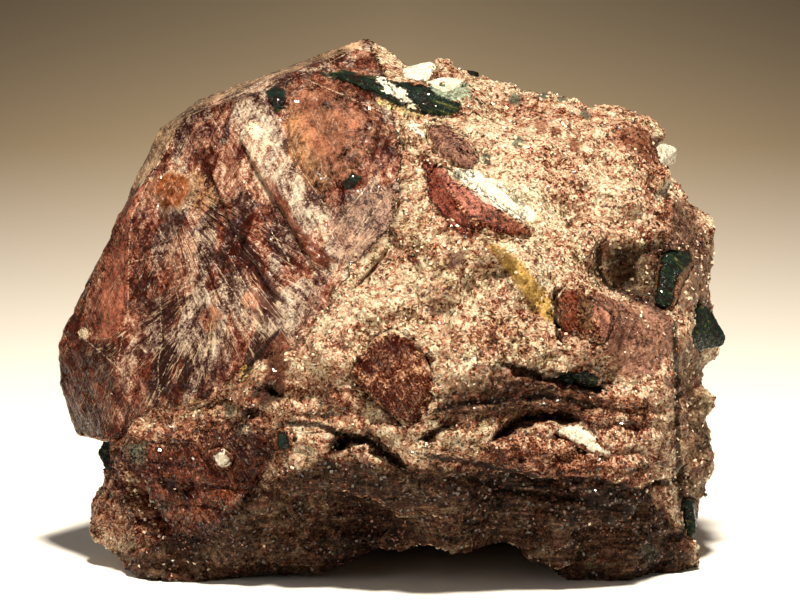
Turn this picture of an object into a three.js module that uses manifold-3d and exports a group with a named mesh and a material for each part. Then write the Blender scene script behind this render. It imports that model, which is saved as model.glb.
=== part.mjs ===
// Eudialyte on matrix: a palm-sized mineral specimen that stands on the broken feet of its rock.
// One large wine-red eudialyte crystal fills the left side. Smaller eudialyte crystals, dark green aegirine
// prisms and pale feldspar cleavages sit in pockets of the granular rock around it.
// Units are millimetres: X runs left to right, Y front to back and Z up, with the origin under the middle.
import * as THREE from "three";
import { ConvexGeometry } from "three/addons/geometries/ConvexGeometry.js";
import { ImprovedNoise } from "three/addons/math/ImprovedNoise.js";
import { mergeVertices } from "three/addons/utils/BufferGeometryUtils.js";
import Module from "manifold-3d";

const wasm = await Module();
wasm.setup();

// Driving dimensions
const WIDTH = 74; // the specimen from its left tip to the spike at its right
const SEAT_GAP = 0.3; // least clearance between a crystal and its pocket
const SWELL = 1.2; // height of the rock's broad lumps
const SWELL_LENGTH = 13; // distance from one broad lump to the next
const LARGE_CHIP = 2.6; // height of the flat chips on those lumps
const LARGE_CHIP_SIZE = 13;
const SMALL_CHIP = 1.3;
const SMALL_CHIP_SIZE = 6.5;
const SKIN_RINGS = 16; // how finely the rock's skin is divided
const LID_TAPER = 0.12; // how far a seated crystal's outer corners are drawn in to its middle
const ROOT_TAPER = 0.35; // the same for the corners of its root
const GROWTH_ROOT = 2; // how deep a growth plate reaches into its crystal
const DRAW_IN = 0.01; // how far a reading that misses the body is moved to the middle at a time
const CRACK_END = 0.35; // width of a crack at its ends, as a share of its width between them
const MOUTH = 3; // how far the body of a crack or a dent reaches out in front of the surface
const SCOOP_DETAIL = 2; // how finely a scoop's ball is divided
const SAME_POINT = 1e-4; // corners nearer than this are one

// Unrelated numbers that make a sine jump about
const SCATTER = { i: 127.1, j: 311.7, k: 74.7, kind: 53.3, wave: 43758.5453 };

// The view in which the front was read, as seen in the photograph
const WIDTH_SEEN = 660; // the specimen's width in pixels
const MIDDLE_SEEN = { right: 400, down: 302.5 };
const VIEW_TARGET = new THREE.Vector3(0.9, 0, 29); // the place behind the middle pixel
const VIEW_DISTANCE = 520;
const VIEW_TILT = THREE.MathUtils.degToRad(8); // how far the view looks down

const COLOURS = {
  eudialyte: new THREE.MeshStandardMaterial({ color: 0x5a1f1c, roughness: 0.35, metalness: 0 }),
  matrix: new THREE.MeshStandardMaterial({ color: 0xa8735c, roughness: 0.65, metalness: 0 }),
  aegirine: new THREE.MeshStandardMaterial({ color: 0x14231c, roughness: 0.25, metalness: 0 }),
  feldspar: new THREE.MeshStandardMaterial({ color: 0xd9d2b4, roughness: 0.4, metalness: 0 }),
};

const noise = new ImprovedNoise();
const eye = new THREE.Vector3(0, -Math.cos(VIEW_TILT), Math.sin(VIEW_TILT))
  .multiplyScalar(VIEW_DISTANCE)
  .add(VIEW_TARGET);

// Direction of view through a pixel.
function sightLine(right, down) {
  const across = ((right - MIDDLE_SEEN.right) * WIDTH) / WIDTH_SEEN / VIEW_DISTANCE;
  const up = ((MIDDLE_SEEN.down - down) * WIDTH) / WIDTH_SEEN / VIEW_DISTANCE;
  const [cos, sin] = [Math.cos(VIEW_TILT), Math.sin(VIEW_TILT)];
  return new THREE.Vector3(across, cos + up * sin, up * cos - sin);
}

// The place seen at a pixel, at the depth Y in millimetres that it was judged to have.
function seen([right, down, depth]) {
  const line = sightLine(right, down);
  return eye.clone().addScaledVector(line, (depth - eye.y) / line.y);
}

function seenAll(corners) {
  return Object.values(corners).map(seen);
}

function placed(corners) {
  return Object.values(corners).map((corner) => new THREE.Vector3(...corner));
}

// A closed three.js geometry as a solid.
function solidOf(geometry) {
  const bare = new THREE.BufferGeometry().setAttribute("position", geometry.getAttribute("position"));
  if (geometry.index) bare.setIndex(geometry.index);
  const merged = mergeVertices(bare, SAME_POINT);
  return new wasm.Manifold(
    new wasm.Mesh({
      numProp: 3,
      vertProperties: merged.attributes.position.array,
      triVerts: new Uint32Array(merged.index.array),
    }),
  );
}

function geometryOf(solid) {
  const mesh = solid.getMesh();
  return new THREE.BufferGeometry()
    .setAttribute("position", new THREE.BufferAttribute(mesh.vertProperties, 3))
    .setIndex(new THREE.BufferAttribute(mesh.triVerts, 1));
}

// The smallest flat-faced body around the points.
function hull(points) {
  return solidOf(new ConvexGeometry(points));
}

// The same body with the seat gap on every side.
function room(points) {
  const signs = [-SEAT_GAP, SEAT_GAP];
  const around = signs.flatMap((x) => signs.flatMap((y) => signs.map((z) => new THREE.Vector3(x, y, z))));
  return hull(points.flatMap((point) => around.map((step) => point.clone().add(step))));
}

function joined(solids) {
  return solids.reduce((sum, solid) => sum.add(solid));
}

// A rounded scoop: a coarse ball with the half sizes [x, y, z], turned by degrees about X, Y and Z.
function scoop({ centre, halfSizes, turn = [0, 0, 0] }) {
  const place = new THREE.Matrix4().compose(
    new THREE.Vector3(...centre),
    new THREE.Quaternion().setFromEuler(new THREE.Euler(...turn.map(THREE.MathUtils.degToRad))),
    new THREE.Vector3(...halfSizes),
  );
  return solidOf(new THREE.IcosahedronGeometry(1, SCOOP_DETAIL).applyMatrix4(place));
}

// An even skin over a form: the points of a ball, moved out from the centre to the form's farthest surface.
function skinOf(form, centre) {
  const { position: ball } = new THREE.IcosahedronGeometry(1, SKIN_RINGS).attributes;
  const skin = mergeVertices(new THREE.BufferGeometry().setAttribute("position", ball), SAME_POINT);
  const target = new THREE.Mesh(geometryOf(form), new THREE.MeshBasicMaterial({ side: THREE.DoubleSide }));
  const ray = new THREE.Raycaster();
  const direction = new THREE.Vector3();
  const { position } = skin.attributes;
  for (let i = 0; i < position.count; i++) {
    ray.set(centre, direction.fromBufferAttribute(position, i).normalize());
    const farthest = ray.intersectObject(target).at(-1).point;
    position.setXYZ(i, farthest.x, farthest.y, farthest.z);
  }
  return skin;
}

// Moves each point of a skin along its normal by a height that depends on the place alone.
function roughen(skin, heightAt) {
  skin.computeVertexNormals();
  const { position, normal } = skin.attributes;
  const point = new THREE.Vector3();
  const out = new THREE.Vector3();
  for (let i = 0; i < position.count; i++) {
    point.fromBufferAttribute(position, i);
    point.addScaledVector(out.fromBufferAttribute(normal, i), heightAt(point));
    position.setXYZ(i, point.x, point.y, point.z);
  }
  return solidOf(skin);
}

// A fixed random number from 0 to 1 for each cell of a grid.
function random(i, j, k, kind) {
  const angle = i * SCATTER.i + j * SCATTER.j + k * SCATTER.k + kind * SCATTER.kind;
  const wave = Math.sin(angle) * SCATTER.wave;
  return wave - Math.floor(wave);
}

// Height of a surface broken into flat chips, one in every cell of the given size, each tilted its own way.
function chips({ x, y, z }, size) {
  const [u, v, w] = [x / size, y / size, z / size];
  let nearest = Infinity;
  let height = 0;
  for (let i = Math.floor(u) - 1; i <= Math.floor(u) + 1; i++) {
    for (let j = Math.floor(v) - 1; j <= Math.floor(v) + 1; j++) {
      for (let k = Math.floor(w) - 1; k <= Math.floor(w) + 1; k++) {
        const offset = [u - i - random(i, j, k, 0), v - j - random(i, j, k, 1), w - k - random(i, j, k, 2)];
        const distance = Math.hypot(...offset);
        if (distance >= nearest) continue;
        nearest = distance;
        height = offset.reduce((sum, part, axis) => sum + part * (2 * random(i, j, k, 3 + axis) - 1), 0);
      }
    }
  }
  return height;
}

// Broad lumps with flat chips on them.
function brokenRock(point) {
  const { x, y, z } = point.clone().divideScalar(SWELL_LENGTH);
  const large = LARGE_CHIP * chips(point, LARGE_CHIP_SIZE);
  const small = SMALL_CHIP * chips(point, SMALL_CHIP_SIZE);
  return SWELL * noise.noise(x, y, z) + large + small;
}

// The rock: its front corners as seen, and its back corners, which are guessed, in millimetres.
const ROCK_FRONT = {
  crest: [400, 76, 11],
  top: [475, 86, 8],
  topRight: [560, 94, 7],
  domeRight: [644, 124, 5],
  shoulder: [676, 152, 3],
  rightHigh: [688, 182, 3],
  lobeTop: [691, 214, 3],
  lobe: [706, 250, 5],
  lobeLow: [706, 308, 5],
  sideHigh: [700, 365, 2],
  sideMiddle: [703, 440, 0],
  sideLow: [700, 490, 0],
  sideFoot: [696, 527, -1],
  footRightOuter: [688, 552, -3],
  footRight: [640, 580, -12],
  footRightInner: [560, 575, -12],
  footLeftInner: [300, 580, -13],
  footLeft: [150, 582, -12],
  footLeftOuter: [98, 545, -5],
  leftLow: [93, 508, -4],
  leftHigh: [102, 449, -8],
  ledgeLeft: [203, 418, -17],
  ledgeMiddleLeft: [298, 445, -23.5],
  ledgeMiddle: [400, 441, -26],
  ledgeMiddleRight: [482, 444, -26.5],
  ledgeRight: [556, 463, -25],
  ledgeFarRight: [634, 474, -20],
  edgeHigh: [672, 320, -14],
  edgeMiddle: [675, 390, -15],
  edgeLow: [679, 460, -13],
  edgeFoot: [682, 524, -9],
  crystalFoot: [355, 310, -20.5],
  middle: [470, 350, -25],
  middleRight: [570, 330, -22],
  domeLow: [512, 250, -19],
  domeLowRight: [600, 240, -15],
  crystalTop: [408, 98, -2.5],
  crystalRight: [428, 165, -11.5],
  crystalLow: [410, 240, -17.5],
};
const ROCK_BACK = {
  top: [2, 20, 50],
  topRight: [20, 17, 46],
  right: [30, 17, 30],
  rightLow: [28, 19, 6],
  foot: [10, 24, -1],
  middle: [6, 26, 24],
  leftFoot: [-14, 21, -1],
  left: [-20, 20, 16],
};
const ROCK_CENTRE = new THREE.Vector3(2, 0, 24);

// Hollows broken out of the rock.
const HOLLOWS = {
  arch: { centre: [8, -8, -2.5], halfSizes: [11, 22, 9] },
  archLeft: { centre: [0, -10, -1.5], halfSizes: [8, 18, 6.5] },
  underLedgeLeft: { centre: [-6, -20, 7], halfSizes: [8, 6, 5] },
  underLedgeRight: { centre: [24, -20, 5], halfSizes: [8, 5, 4], turn: [0, 0, 25] },
  waistRight: { centre: [36, -9, 24], halfSizes: [4, 5, 2.5] },
  waistLeft: { centre: [-37.8, -8, 13.2], halfSizes: [4.6, 6, 2] },
  footHollow: { centre: [-31, -16, 7.5], halfSizes: [3.5, 6, 6.5], turn: [0, 0, 12] },
  faceHollow: { centre: [14, -25, 35], halfSizes: [8, 5, 2.5], turn: [0, 25, 0] },
  archBack: { centre: [-2, 26, 1], halfSizes: [9, 12, 4] },
  backHigh: { centre: [14, 30, 42], halfSizes: [13, 9, 11], turn: [20, 0, 0] },
  backRight: { centre: [24, 28, 16], halfSizes: [11, 8, 9], turn: [0, 15, 0] },
  backLeft: { centre: [-16, 29, 24], halfSizes: [9, 9, 8] },
};

// The recess under the dome and over the right block: as seen, from its open side to its inner end.
const RECESS = {
  tip: [560, 268, -24],
  roofLeft: [606, 240, -19],
  roofRight: [668, 236, -6],
  wallTop: [660, 246, 4],
  wallLow: [656, 306, 3],
  floorRight: [676, 322, -9],
  floorMiddle: [632, 300, -15],
  floorLeft: [600, 288, -20],
  openTop: [640, 230, -27],
  openLow: [684, 326, -27],
};
// The groove that runs up from it between the dome and the lobe at the right.
const GROOVE = {
  high: [678, 186, 1],
  highFront: [668, 186, -12],
  lowFront: [646, 250, -20],
  low: [676, 250, 0],
  inner: [658, 240, -3],
};

// Cracks of the front, each as seen from its left or upper end to the other.
const CRACKS = {
  ledgeHigh: { line: [[503, 364], [545, 378], [575, 383], [600, 388]], width: 1.4, depth: 3.5 },
  besideLens: { line: [[424, 438], [440, 430], [457, 425]], width: 1.3, depth: 3 },
  ledgeLow: { line: [[495, 438], [518, 421], [540, 415], [582, 421]], width: 1.8, depth: 4.5 },
  cleft: { line: [[335, 449], [350, 440], [370, 440], [404, 468]], width: 2.2, depth: 4.5 },
  blockLow: { line: [[640, 490], [655, 482], [668, 484]], width: 1.2, depth: 2.5 },
  edgeGroove: { line: [[674, 345], [677, 400], [678, 455]], width: 0.8, depth: 2.5 },
};

// Dents and pits of the front, with their rims as seen.
const DENTS = {
  glassyHollow: {
    outline: [[121, 458], [130, 450], [143, 480], [155, 504], [169, 534], [161, 544], [136, 526], [118, 490]],
    sunk: 2.6,
  },
  pitHigh: { outline: [[262, 386], [272, 381], [281, 388], [278, 400], [266, 401]], sunk: 2.2 },
  pitLow: { outline: [[242, 409], [252, 405], [261, 412], [258, 422], [246, 421]], sunk: 2 },
  underLedge: { outline: [[450, 470], [520, 474], [590, 492], [560, 512], [480, 500]], sunk: 1.8 },
};

// The large crystal, in the same way as the rock.
const CRYSTAL_FRONT = {
  leftTip: [62, 345, 1],
  leftLow: [66, 388, 0],
  bottomLeft: [79, 432, -2],
  bottomFront: [112, 437, -9],
  facetFold: [117, 368, -8.5],
  facetEdge: [128, 305, -6.5],
  lowRidge: [204, 400, -15.5],
  lowRidgeRight: [299, 345, -20],
  ridgeFoot: [345, 290, -19.5],
  ridgeHead: [262, 98, -2.5],
  shoulderLow: [166, 129, 5],
  shoulderHigh: [203, 103, 7],
  apex: [366, 43, 12],
  crest: [383, 51, 11],
  crestLow: [405, 69, 9],
  bevelLow: [131, 213, -2.5],
  bevelMiddle: [163, 160, -0.5],
  bevelHigh: [194, 117, 1],
  bevelTop: [299, 76, 3],
  faceTop: [396, 98, -0.5],
  faceRight: [406, 162, -8],
  faceLow: [397, 228, -15],
};
const CRYSTAL_BACK = {
  tip: [-33, 9, 22],
  low: [-30, 8, 13],
  middle: [-25, 18, 30],
  high: [-19, 18, 44],
  right: [-9, 21, 47],
  root: [-8, 6, 15],
};

// Growth plates that stand out of the large crystal's faces: outlines as seen, and heights.
const GROWTH = {
  edgeStrip: {
    outline: [[151, 178], [163, 163], [160, 215], [146, 318], [129, 308], [132, 214]],
    proud: 0.5,
  },
  gashStrip: {
    outline: [[196, 128], [212, 118], [262, 214], [298, 296], [284, 306], [236, 226]],
    proud: 0.6,
  },
  ridgeBand: {
    outline: [[240, 132], [252, 123], [292, 168], [326, 224], [350, 268], [322, 273]],
    proud: 0.9,
  },
  upperFacet: {
    outline: [[285, 95], [312, 84], [382, 112], [375, 150], [345, 186], [314, 196], [288, 150]],
    proud: 0.7,
  },
  fan: {
    outline: [[348, 192], [388, 186], [396, 212], [376, 258], [352, 262], [334, 236]],
    proud: 0.5,
  },
  rim: {
    outline: [[166, 300], [206, 302], [226, 290], [230, 304], [204, 352], [168, 396]],
    proud: 0.5,
  },
};

// Crystals seated in the surface: each has its outline as seen, and how far it stands out and reaches in.
const SEATED = {
  eudialyte_lens: {
    outline: [[352, 375], [375, 341], [393, 332], [415, 345], [430, 375], [428, 400], [410, 426], [388, 408]],
    proud: 1.0,
    sunk: 2.5,
  },
  eudialyte_blade: {
    outline: [[420, 157], [447, 175], [480, 195], [526, 226], [530, 236], [500, 236], [470, 226], [436, 210]],
    proud: 0.35,
    sunk: 2.2,
  },
  eudialyte_facet: {
    outline: [[558, 300], [566, 290], [582, 289], [597, 305], [611, 322], [603, 341], [572, 333], [557, 318]],
    proud: 0.45,
    sunk: 2.2,
  },
  eudialyte_dark: {
    outline: [[428, 128], [445, 126], [468, 143], [477, 160], [468, 168], [448, 160], [432, 145]],
    proud: 0.35,
    sunk: 1.8,
  },
  aegirine_top: {
    outline: [[320, 73], [345, 72], [385, 81], [420, 87], [458, 104], [461, 113], [440, 117], [348, 88]],
    proud: 0.5,
    sunk: 1.6,
  },
  aegirine_band: {
    outline: [[657, 304], [663, 258], [684, 252], [690, 262], [676, 276], [669, 308]],
    proud: 0.5,
    sunk: 1.5,
  },
  aegirine_low_right: {
    outline: [[684, 503], [692, 500], [699, 528], [691, 538], [685, 528]],
    proud: 0.5,
    sunk: 1.5,
  },
  aegirine_top_left: {
    outline: [[267, 92], [276, 87], [285, 93], [284, 107], [276, 110], [269, 103]],
    proud: 0.4,
    sunk: 1.4,
  },
  aegirine_middle: {
    outline: [[338, 181], [350, 172], [361, 176], [358, 187], [344, 191]],
    proud: 0.35,
    sunk: 1.3,
  },
  aegirine_lower: {
    outline: [[276, 432], [288, 430], [290, 447], [279, 450]],
    proud: 0.4,
    sunk: 1.5,
  },
  aegirine_ledge: {
    outline: [[573, 372], [586, 369], [599, 377], [597, 383], [580, 381]],
    proud: 0.4,
    sunk: 1.5,
  },
  feldspar_band: {
    outline: [[453, 170], [472, 173], [500, 193], [527, 218], [505, 212], [470, 190]],
    proud: 0.3,
    sunk: 1.6,
  },
  feldspar_streak: {
    outline: [[556, 430], [572, 426], [590, 434], [609, 454], [594, 452], [572, 441]],
    proud: 0.4,
    sunk: 1.6,
  },
  feldspar_lower_left: {
    outline: [[209, 453], [221, 449], [232, 456], [228, 467], [213, 466]],
    proud: 0.4,
    sunk: 1.6,
  },
};

// Crystals that stand out past the outline, with the depth of each corner.
const STANDING = {
  aegirine_right: {
    innerTop: [672, 309, -7],
    top: [682, 304, -4],
    outerTop: [706, 310, -2],
    spike: [722, 336, -0.5],
    spikeLow: [721, 343, -0.5],
    low: [702, 341, -1],
    innerLow: [692, 348, -5],
    inner: [676, 336, -9],
    back: [690, 312, 4],
    backLow: [694, 342, 4],
    root: [668, 325, -2],
  },
  aegirine_left: {
    low: [108, 467, -7],
    outer: [101, 453, -5.5],
    high: [107, 441, -5.5],
    inner: [126, 444, -7],
    innerLow: [124, 466, -8.5],
    root: [140, 456, 0],
  },
  feldspar_top: {
    left: [402, 72, 8],
    tip: [431, 64, 9],
    right: [435, 70, 9],
    low: [425, 81, 4],
    lowLeft: [406, 79, 5],
    back: [405, 70, 14],
    backRight: [430, 68, 14],
    root: [418, 88, 10],
  },
  aegirine_sliver: {
    left: [437, 72, 11],
    top: [442, 70, 12],
    tip: [478, 75, 11],
    low: [447, 78, 9],
    lowRight: [472, 79, 9.5],
    back: [444, 72, 14],
    root: [458, 84, 12],
  },
  feldspar_top_green: {
    left: [427, 84, 4],
    top: [443, 79, 6.5],
    right: [463, 82, 6],
    low: [441, 94, 1],
    lowRight: [456, 90, 3],
    root: [444, 96, 7],
  },
  feldspar_shoulder: {
    left: [655, 151, 1],
    top: [663, 145, 3],
    tip: [675, 149, 5],
    low: [674, 161, 6],
    lowLeft: [657, 164, 1],
    root: [645, 168, 8],
  },
};

// The first surface met at a pixel. One that just misses the body is drawn in to the middle until it meets.
function met([right, down], surface) {
  const ray = new THREE.Raycaster(eye, sightLine(right, down).normalize());
  const [hit] = ray.intersectObject(surface);
  if (hit) return hit.point;
  const { lerp } = THREE.MathUtils;
  return met([lerp(right, MIDDLE_SEEN.right, DRAW_IN), lerp(down, MIDDLE_SEEN.down, DRAW_IN)], surface);
}

// Corners of a body with the given outline on a surface: a lid that stands out, and a smaller root below.
function seatedCorners({ outline, proud, sunk }, surface) {
  const rim = outline.map((pixel) => met(pixel, surface));
  const middle = rim.reduce((sum, point) => sum.add(point), new THREE.Vector3()).divideScalar(rim.length);
  const out = new THREE.Vector3();
  rim.forEach((point, i) => {
    const next = rim[(i + 1) % rim.length];
    out.add(next.clone().sub(middle).cross(point.clone().sub(middle)));
  });
  out.normalize();
  if (out.dot(eye.clone().sub(middle)) < 0) out.negate();
  const lid = rim.map((point) => point.clone().lerp(middle, LID_TAPER).addScaledVector(out, proud));
  const root = rim.map((point) => point.clone().lerp(middle, ROOT_TAPER).addScaledVector(out, -sunk));
  return [...lid, ...rim, ...root];
}

// The body of a crack: wedges along its line, as wide as given at the surface and closing inwards.
function crackBody({ line, width, depth }, surface) {
  const places = line.map((pixel) => met(pixel, surface));
  const widthAt = (i) => (i === 0 || i === places.length - 1 ? CRACK_END * width : width);
  const wedges = places.slice(1).map((end, i) => {
    const start = places[i];
    const inwards = start.clone().sub(eye).normalize();
    const across = end.clone().sub(start).cross(inwards).normalize();
    const section = (point, half) => [
      point.clone().addScaledVector(inwards, -MOUTH).addScaledVector(across, half),
      point.clone().addScaledVector(inwards, -MOUTH).addScaledVector(across, -half),
      point.clone().addScaledVector(inwards, depth),
    ];
    return hull([...section(start, widthAt(i)), ...section(end, widthAt(i + 1))]);
  });
  return joined(wedges);
}

function surfaceOf(...solids) {
  return new THREE.Mesh(geometryOf(joined(solids)), new THREE.MeshBasicMaterial({ side: THREE.DoubleSide }));
}

// Cutting can free loose flakes: only the largest body stays.
function largest(solid) {
  return solid.decompose().reduce((best, body) => (body.volume() > best.volume() ? body : best));
}

const crystalMain = [...seenAll(CRYSTAL_FRONT), ...placed(CRYSTAL_BACK)];
const crystalFace = surfaceOf(hull(crystalMain));
const crystalForms = [
  crystalMain,
  ...Object.values(GROWTH).map((plate) => seatedCorners({ ...plate, sunk: GROWTH_ROOT }, crystalFace)),
];
let crystal = joined(crystalForms.map(hull));

const block = hull([...seenAll(ROCK_FRONT), ...placed(ROCK_BACK)]);
const hollows = [...Object.values(HOLLOWS).map(scoop), hull(seenAll(RECESS)), hull(seenAll(GROOVE))];
const carved = block.subtract(joined(hollows));
let rock = roughen(skinOf(carved, ROCK_CENTRE), brokenRock);
const outside = surfaceOf(rock, crystal);
const dents = Object.values(DENTS).map((dent) => hull(seatedCorners({ ...dent, proud: MOUTH }, outside)));
const cracks = Object.values(CRACKS).map((crack) => crackBody(crack, outside));
rock = rock.subtract(joined([...cracks, ...dents, ...crystalForms.map(room)]));

// Each small crystal gives way to those before it, and both the rock and the large crystal give way to all.
const smallCorners = [
  ...Object.entries(SEATED).map(([name, shape]) => [name, seatedCorners(shape, outside)]),
  ...Object.entries(STANDING).map(([name, corners]) => [name, seenAll(corners)]),
];
const pockets = smallCorners.map(([, corners]) => room(corners));
const smallCrystals = smallCorners.map(([name, corners], i) => [
  name,
  pockets.slice(0, i).reduce((body, pocket) => body.subtract(pocket), hull(corners)),
]);
crystal = crystal.subtract(joined(pockets));
const floor = solidOf(new THREE.BoxGeometry(2 * WIDTH, 2 * WIDTH, WIDTH).translate(0, 0, -WIDTH / 2));
rock = rock.subtract(joined([...pockets, floor]));

const pieces = [["matrix_rock", rock], ["eudialyte_crystal", crystal], ...smallCrystals];
const specimen = new THREE.Group();
const box = new THREE.Box3();
for (const [name, solid] of pieces) {
  const [mineral] = name.split("_");
  const mesh = new THREE.Mesh(geometryOf(largest(solid)), COLOURS[mineral]);
  mesh.name = name;
  specimen.add(mesh);
  box.expandByObject(mesh);
}

// The box is centred over the origin.
const middle = box.getCenter(new THREE.Vector3());
for (const mesh of specimen.children) mesh.geometry.translate(-middle.x, -middle.y, 0);

export default specimen;
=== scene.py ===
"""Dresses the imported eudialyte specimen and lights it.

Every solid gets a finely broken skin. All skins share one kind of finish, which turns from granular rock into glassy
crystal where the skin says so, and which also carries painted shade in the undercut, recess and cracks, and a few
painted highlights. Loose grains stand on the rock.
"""
import math
from collections import namedtuple

import bmesh
import bpy
import numpy as np
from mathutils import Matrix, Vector, noise


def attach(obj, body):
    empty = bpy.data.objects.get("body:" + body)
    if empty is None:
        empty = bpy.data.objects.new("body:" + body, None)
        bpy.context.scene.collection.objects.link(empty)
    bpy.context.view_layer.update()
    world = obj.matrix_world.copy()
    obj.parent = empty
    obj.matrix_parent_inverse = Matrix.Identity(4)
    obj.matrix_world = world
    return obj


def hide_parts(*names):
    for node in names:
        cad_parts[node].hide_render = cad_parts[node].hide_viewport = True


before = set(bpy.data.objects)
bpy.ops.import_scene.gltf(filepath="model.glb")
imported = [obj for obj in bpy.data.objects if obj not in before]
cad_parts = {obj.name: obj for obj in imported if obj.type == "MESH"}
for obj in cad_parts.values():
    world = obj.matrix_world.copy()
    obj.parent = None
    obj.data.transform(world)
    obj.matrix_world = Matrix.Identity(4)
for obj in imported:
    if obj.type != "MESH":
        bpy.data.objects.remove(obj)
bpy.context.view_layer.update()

bl_info = {
    "name": "Eudialyte specimen",
    "version": (1, 0, 0),
    "blender": (4, 5, 0),
    "location": "3D View > Sidebar > Specimen",
    "description": "Dresses the packed model of a eudialyte specimen",
    "category": "Object",
}

MM = 0.001

# The front view, in pixels of the picture where a name ends in SEEN
WIDTH_ACROSS = 74.0  # the specimen's width in millimetres
WIDTH_SEEN = 660.0
FRAME_SEEN = 800.0
MIDDLE_SEEN = (400.0, 302.5)
VIEW_TARGET = Vector((0.96, 0.52, 29.0)) * MM
VIEW_DISTANCE = 520 * MM
VIEW_TILT = math.radians(8)
VIEW_BACK = (0, -math.cos(VIEW_TILT), math.sin(VIEW_TILT))  # from the specimen to the eye
EYE = VIEW_TARGET + Vector(VIEW_BACK) * VIEW_DISTANCE
HALF_VIEW = 0.086  # half of the view's width, for each metre of distance
SENSOR = 36.0

# The colours of the minerals and of the marks on them
CREAM = (0.60, 0.46, 0.31)
WHITE = (0.76, 0.68, 0.50)
PEACH = (0.49, 0.29, 0.185)
ROSE = (0.36, 0.165, 0.100)
BRICK = (0.195, 0.064, 0.029)
WINE = (0.084, 0.017, 0.006)
MAUVE = (0.23, 0.135, 0.095)
PLUM = (0.036, 0.009, 0.006)
BROWN = (0.125, 0.054, 0.027)
UMBER = (0.040, 0.018, 0.009)
SOOT = (0.010, 0.005, 0.003)
AMBER = (0.155, 0.036, 0.004)
RUST = (0.40, 0.16, 0.06)
OCHRE = (0.46, 0.28, 0.065)
GREEN_GREY = (0.11, 0.13, 0.09)

# A stain covers the surface with a colour, and a tone makes it paler and redder, or darker and greyer. Each is an
# outline in the front view with a soft edge, in pixels. Some of them are painted shade and painted highlights, marked
# where they stand.
ColourPatch = namedtuple("ColourPatch", "colour cover soft outline")
Tone = namedtuple("Tone", "change redness soft outline")
Spot = namedtuple("Spot", "colour cover radius middle")

CRYSTAL_SEEN = (
    (40, 440), (80, 434), (120, 438), (155, 405), (204, 398), (250, 365), (299, 345), (330, 300), (345, 275),
    (385, 232), (400, 190), (398, 150), (392, 98), (366, 30), (200, 80), (130, 150), (40, 340),
)
# Areas that have both a tone and a stain
RECESS_SEEN = ((604, 250), (625, 243), (668, 244), (664, 302), (640, 302), (612, 286))
UPPER_FACET_SEEN = ((286, 98), (312, 84), (382, 112), (375, 150), (345, 186), (314, 196), (288, 150))
LEFT_FACET_SEEN = ((62, 342), (116, 345), (114, 432), (80, 434), (60, 390))
LEFT_STRIP_SEEN = ((150, 180), (132, 214), (128, 306), (118, 345), (96, 340), (94, 300), (125, 205))
FAN_SEEN = ((325, 240), (348, 190), (396, 186), (398, 225), (372, 262), (340, 264))

# Where the minerals show
RED_SEEN = {
    "lens": (
        (350, 374), (362, 354), (376, 341), (393, 331), (410, 340), (425, 356), (434, 382), (430, 402), (415, 428),
        (400, 422), (386, 408), (366, 392),
    ),
    "blade": (
        (420, 155), (436, 163), (452, 182), (482, 194), (506, 210), (530, 233), (512, 237), (488, 232), (470, 236),
        (446, 222), (430, 196),
    ),
    "facet": ((557, 300), (566, 289), (583, 290), (598, 306), (612, 322), (604, 341), (574, 332), (560, 342)),
    "dark": ((428, 128), (446, 126), (468, 142), (479, 162), (470, 172), (448, 162), (434, 146)),
    "foot": ((114, 452), (124, 448), (134, 470), (150, 505), (168, 534), (158, 546), (132, 530), (114, 492)),
    "lobe": ((682, 232), (700, 240), (706, 262), (690, 262)),
    "foot_front": (
        (122, 448), (160, 442), (205, 432), (250, 424), (274, 442), (262, 480), (240, 515), (205, 545), (168, 535),
        (142, 500),
    ),
}
GREEN_SEEN = {
    "top": ((318, 73), (346, 71), (386, 80), (420, 86), (459, 103), (462, 112), (440, 116), (400, 106), (350, 84)),
    "band": ((657, 305), (660, 262), (668, 252), (690, 250), (692, 262), (676, 278), (670, 310)),
    "low_right": ((684, 500), (692, 498), (700, 528), (692, 540), (685, 530)),
    "top_left": ((267, 91), (276, 86), (287, 92), (284, 108), (277, 112), (269, 103)),
    "middle": ((340, 184), (352, 172), (360, 178), (350, 190)),
    "lower": ((276, 432), (288, 430), (290, 447), (279, 450)),
    "ledge": ((545, 370), (574, 374), (586, 370), (600, 378), (597, 386), (570, 384)),
}
WHITE_SEEN = {
    "band": ((452, 168), (474, 170), (504, 184), (534, 214), (536, 224), (506, 213), (476, 194)),
    "streak": ((556, 430), (572, 426), (590, 434), (609, 454), (594, 452), (572, 441)),
    "lower_left": ((213, 456), (222, 453), (229, 458), (224, 464), (215, 463)),
    "patch": ((407, 122), (418, 124), (426, 134), (422, 140), (412, 132)),
    # Painted highlight: the gleam along the top prism, in the pale cleavages' colour
    "top_gleam_painted": ((378, 79), (392, 82), (410, 95), (420, 108), (408, 107), (388, 93)),
}
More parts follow.
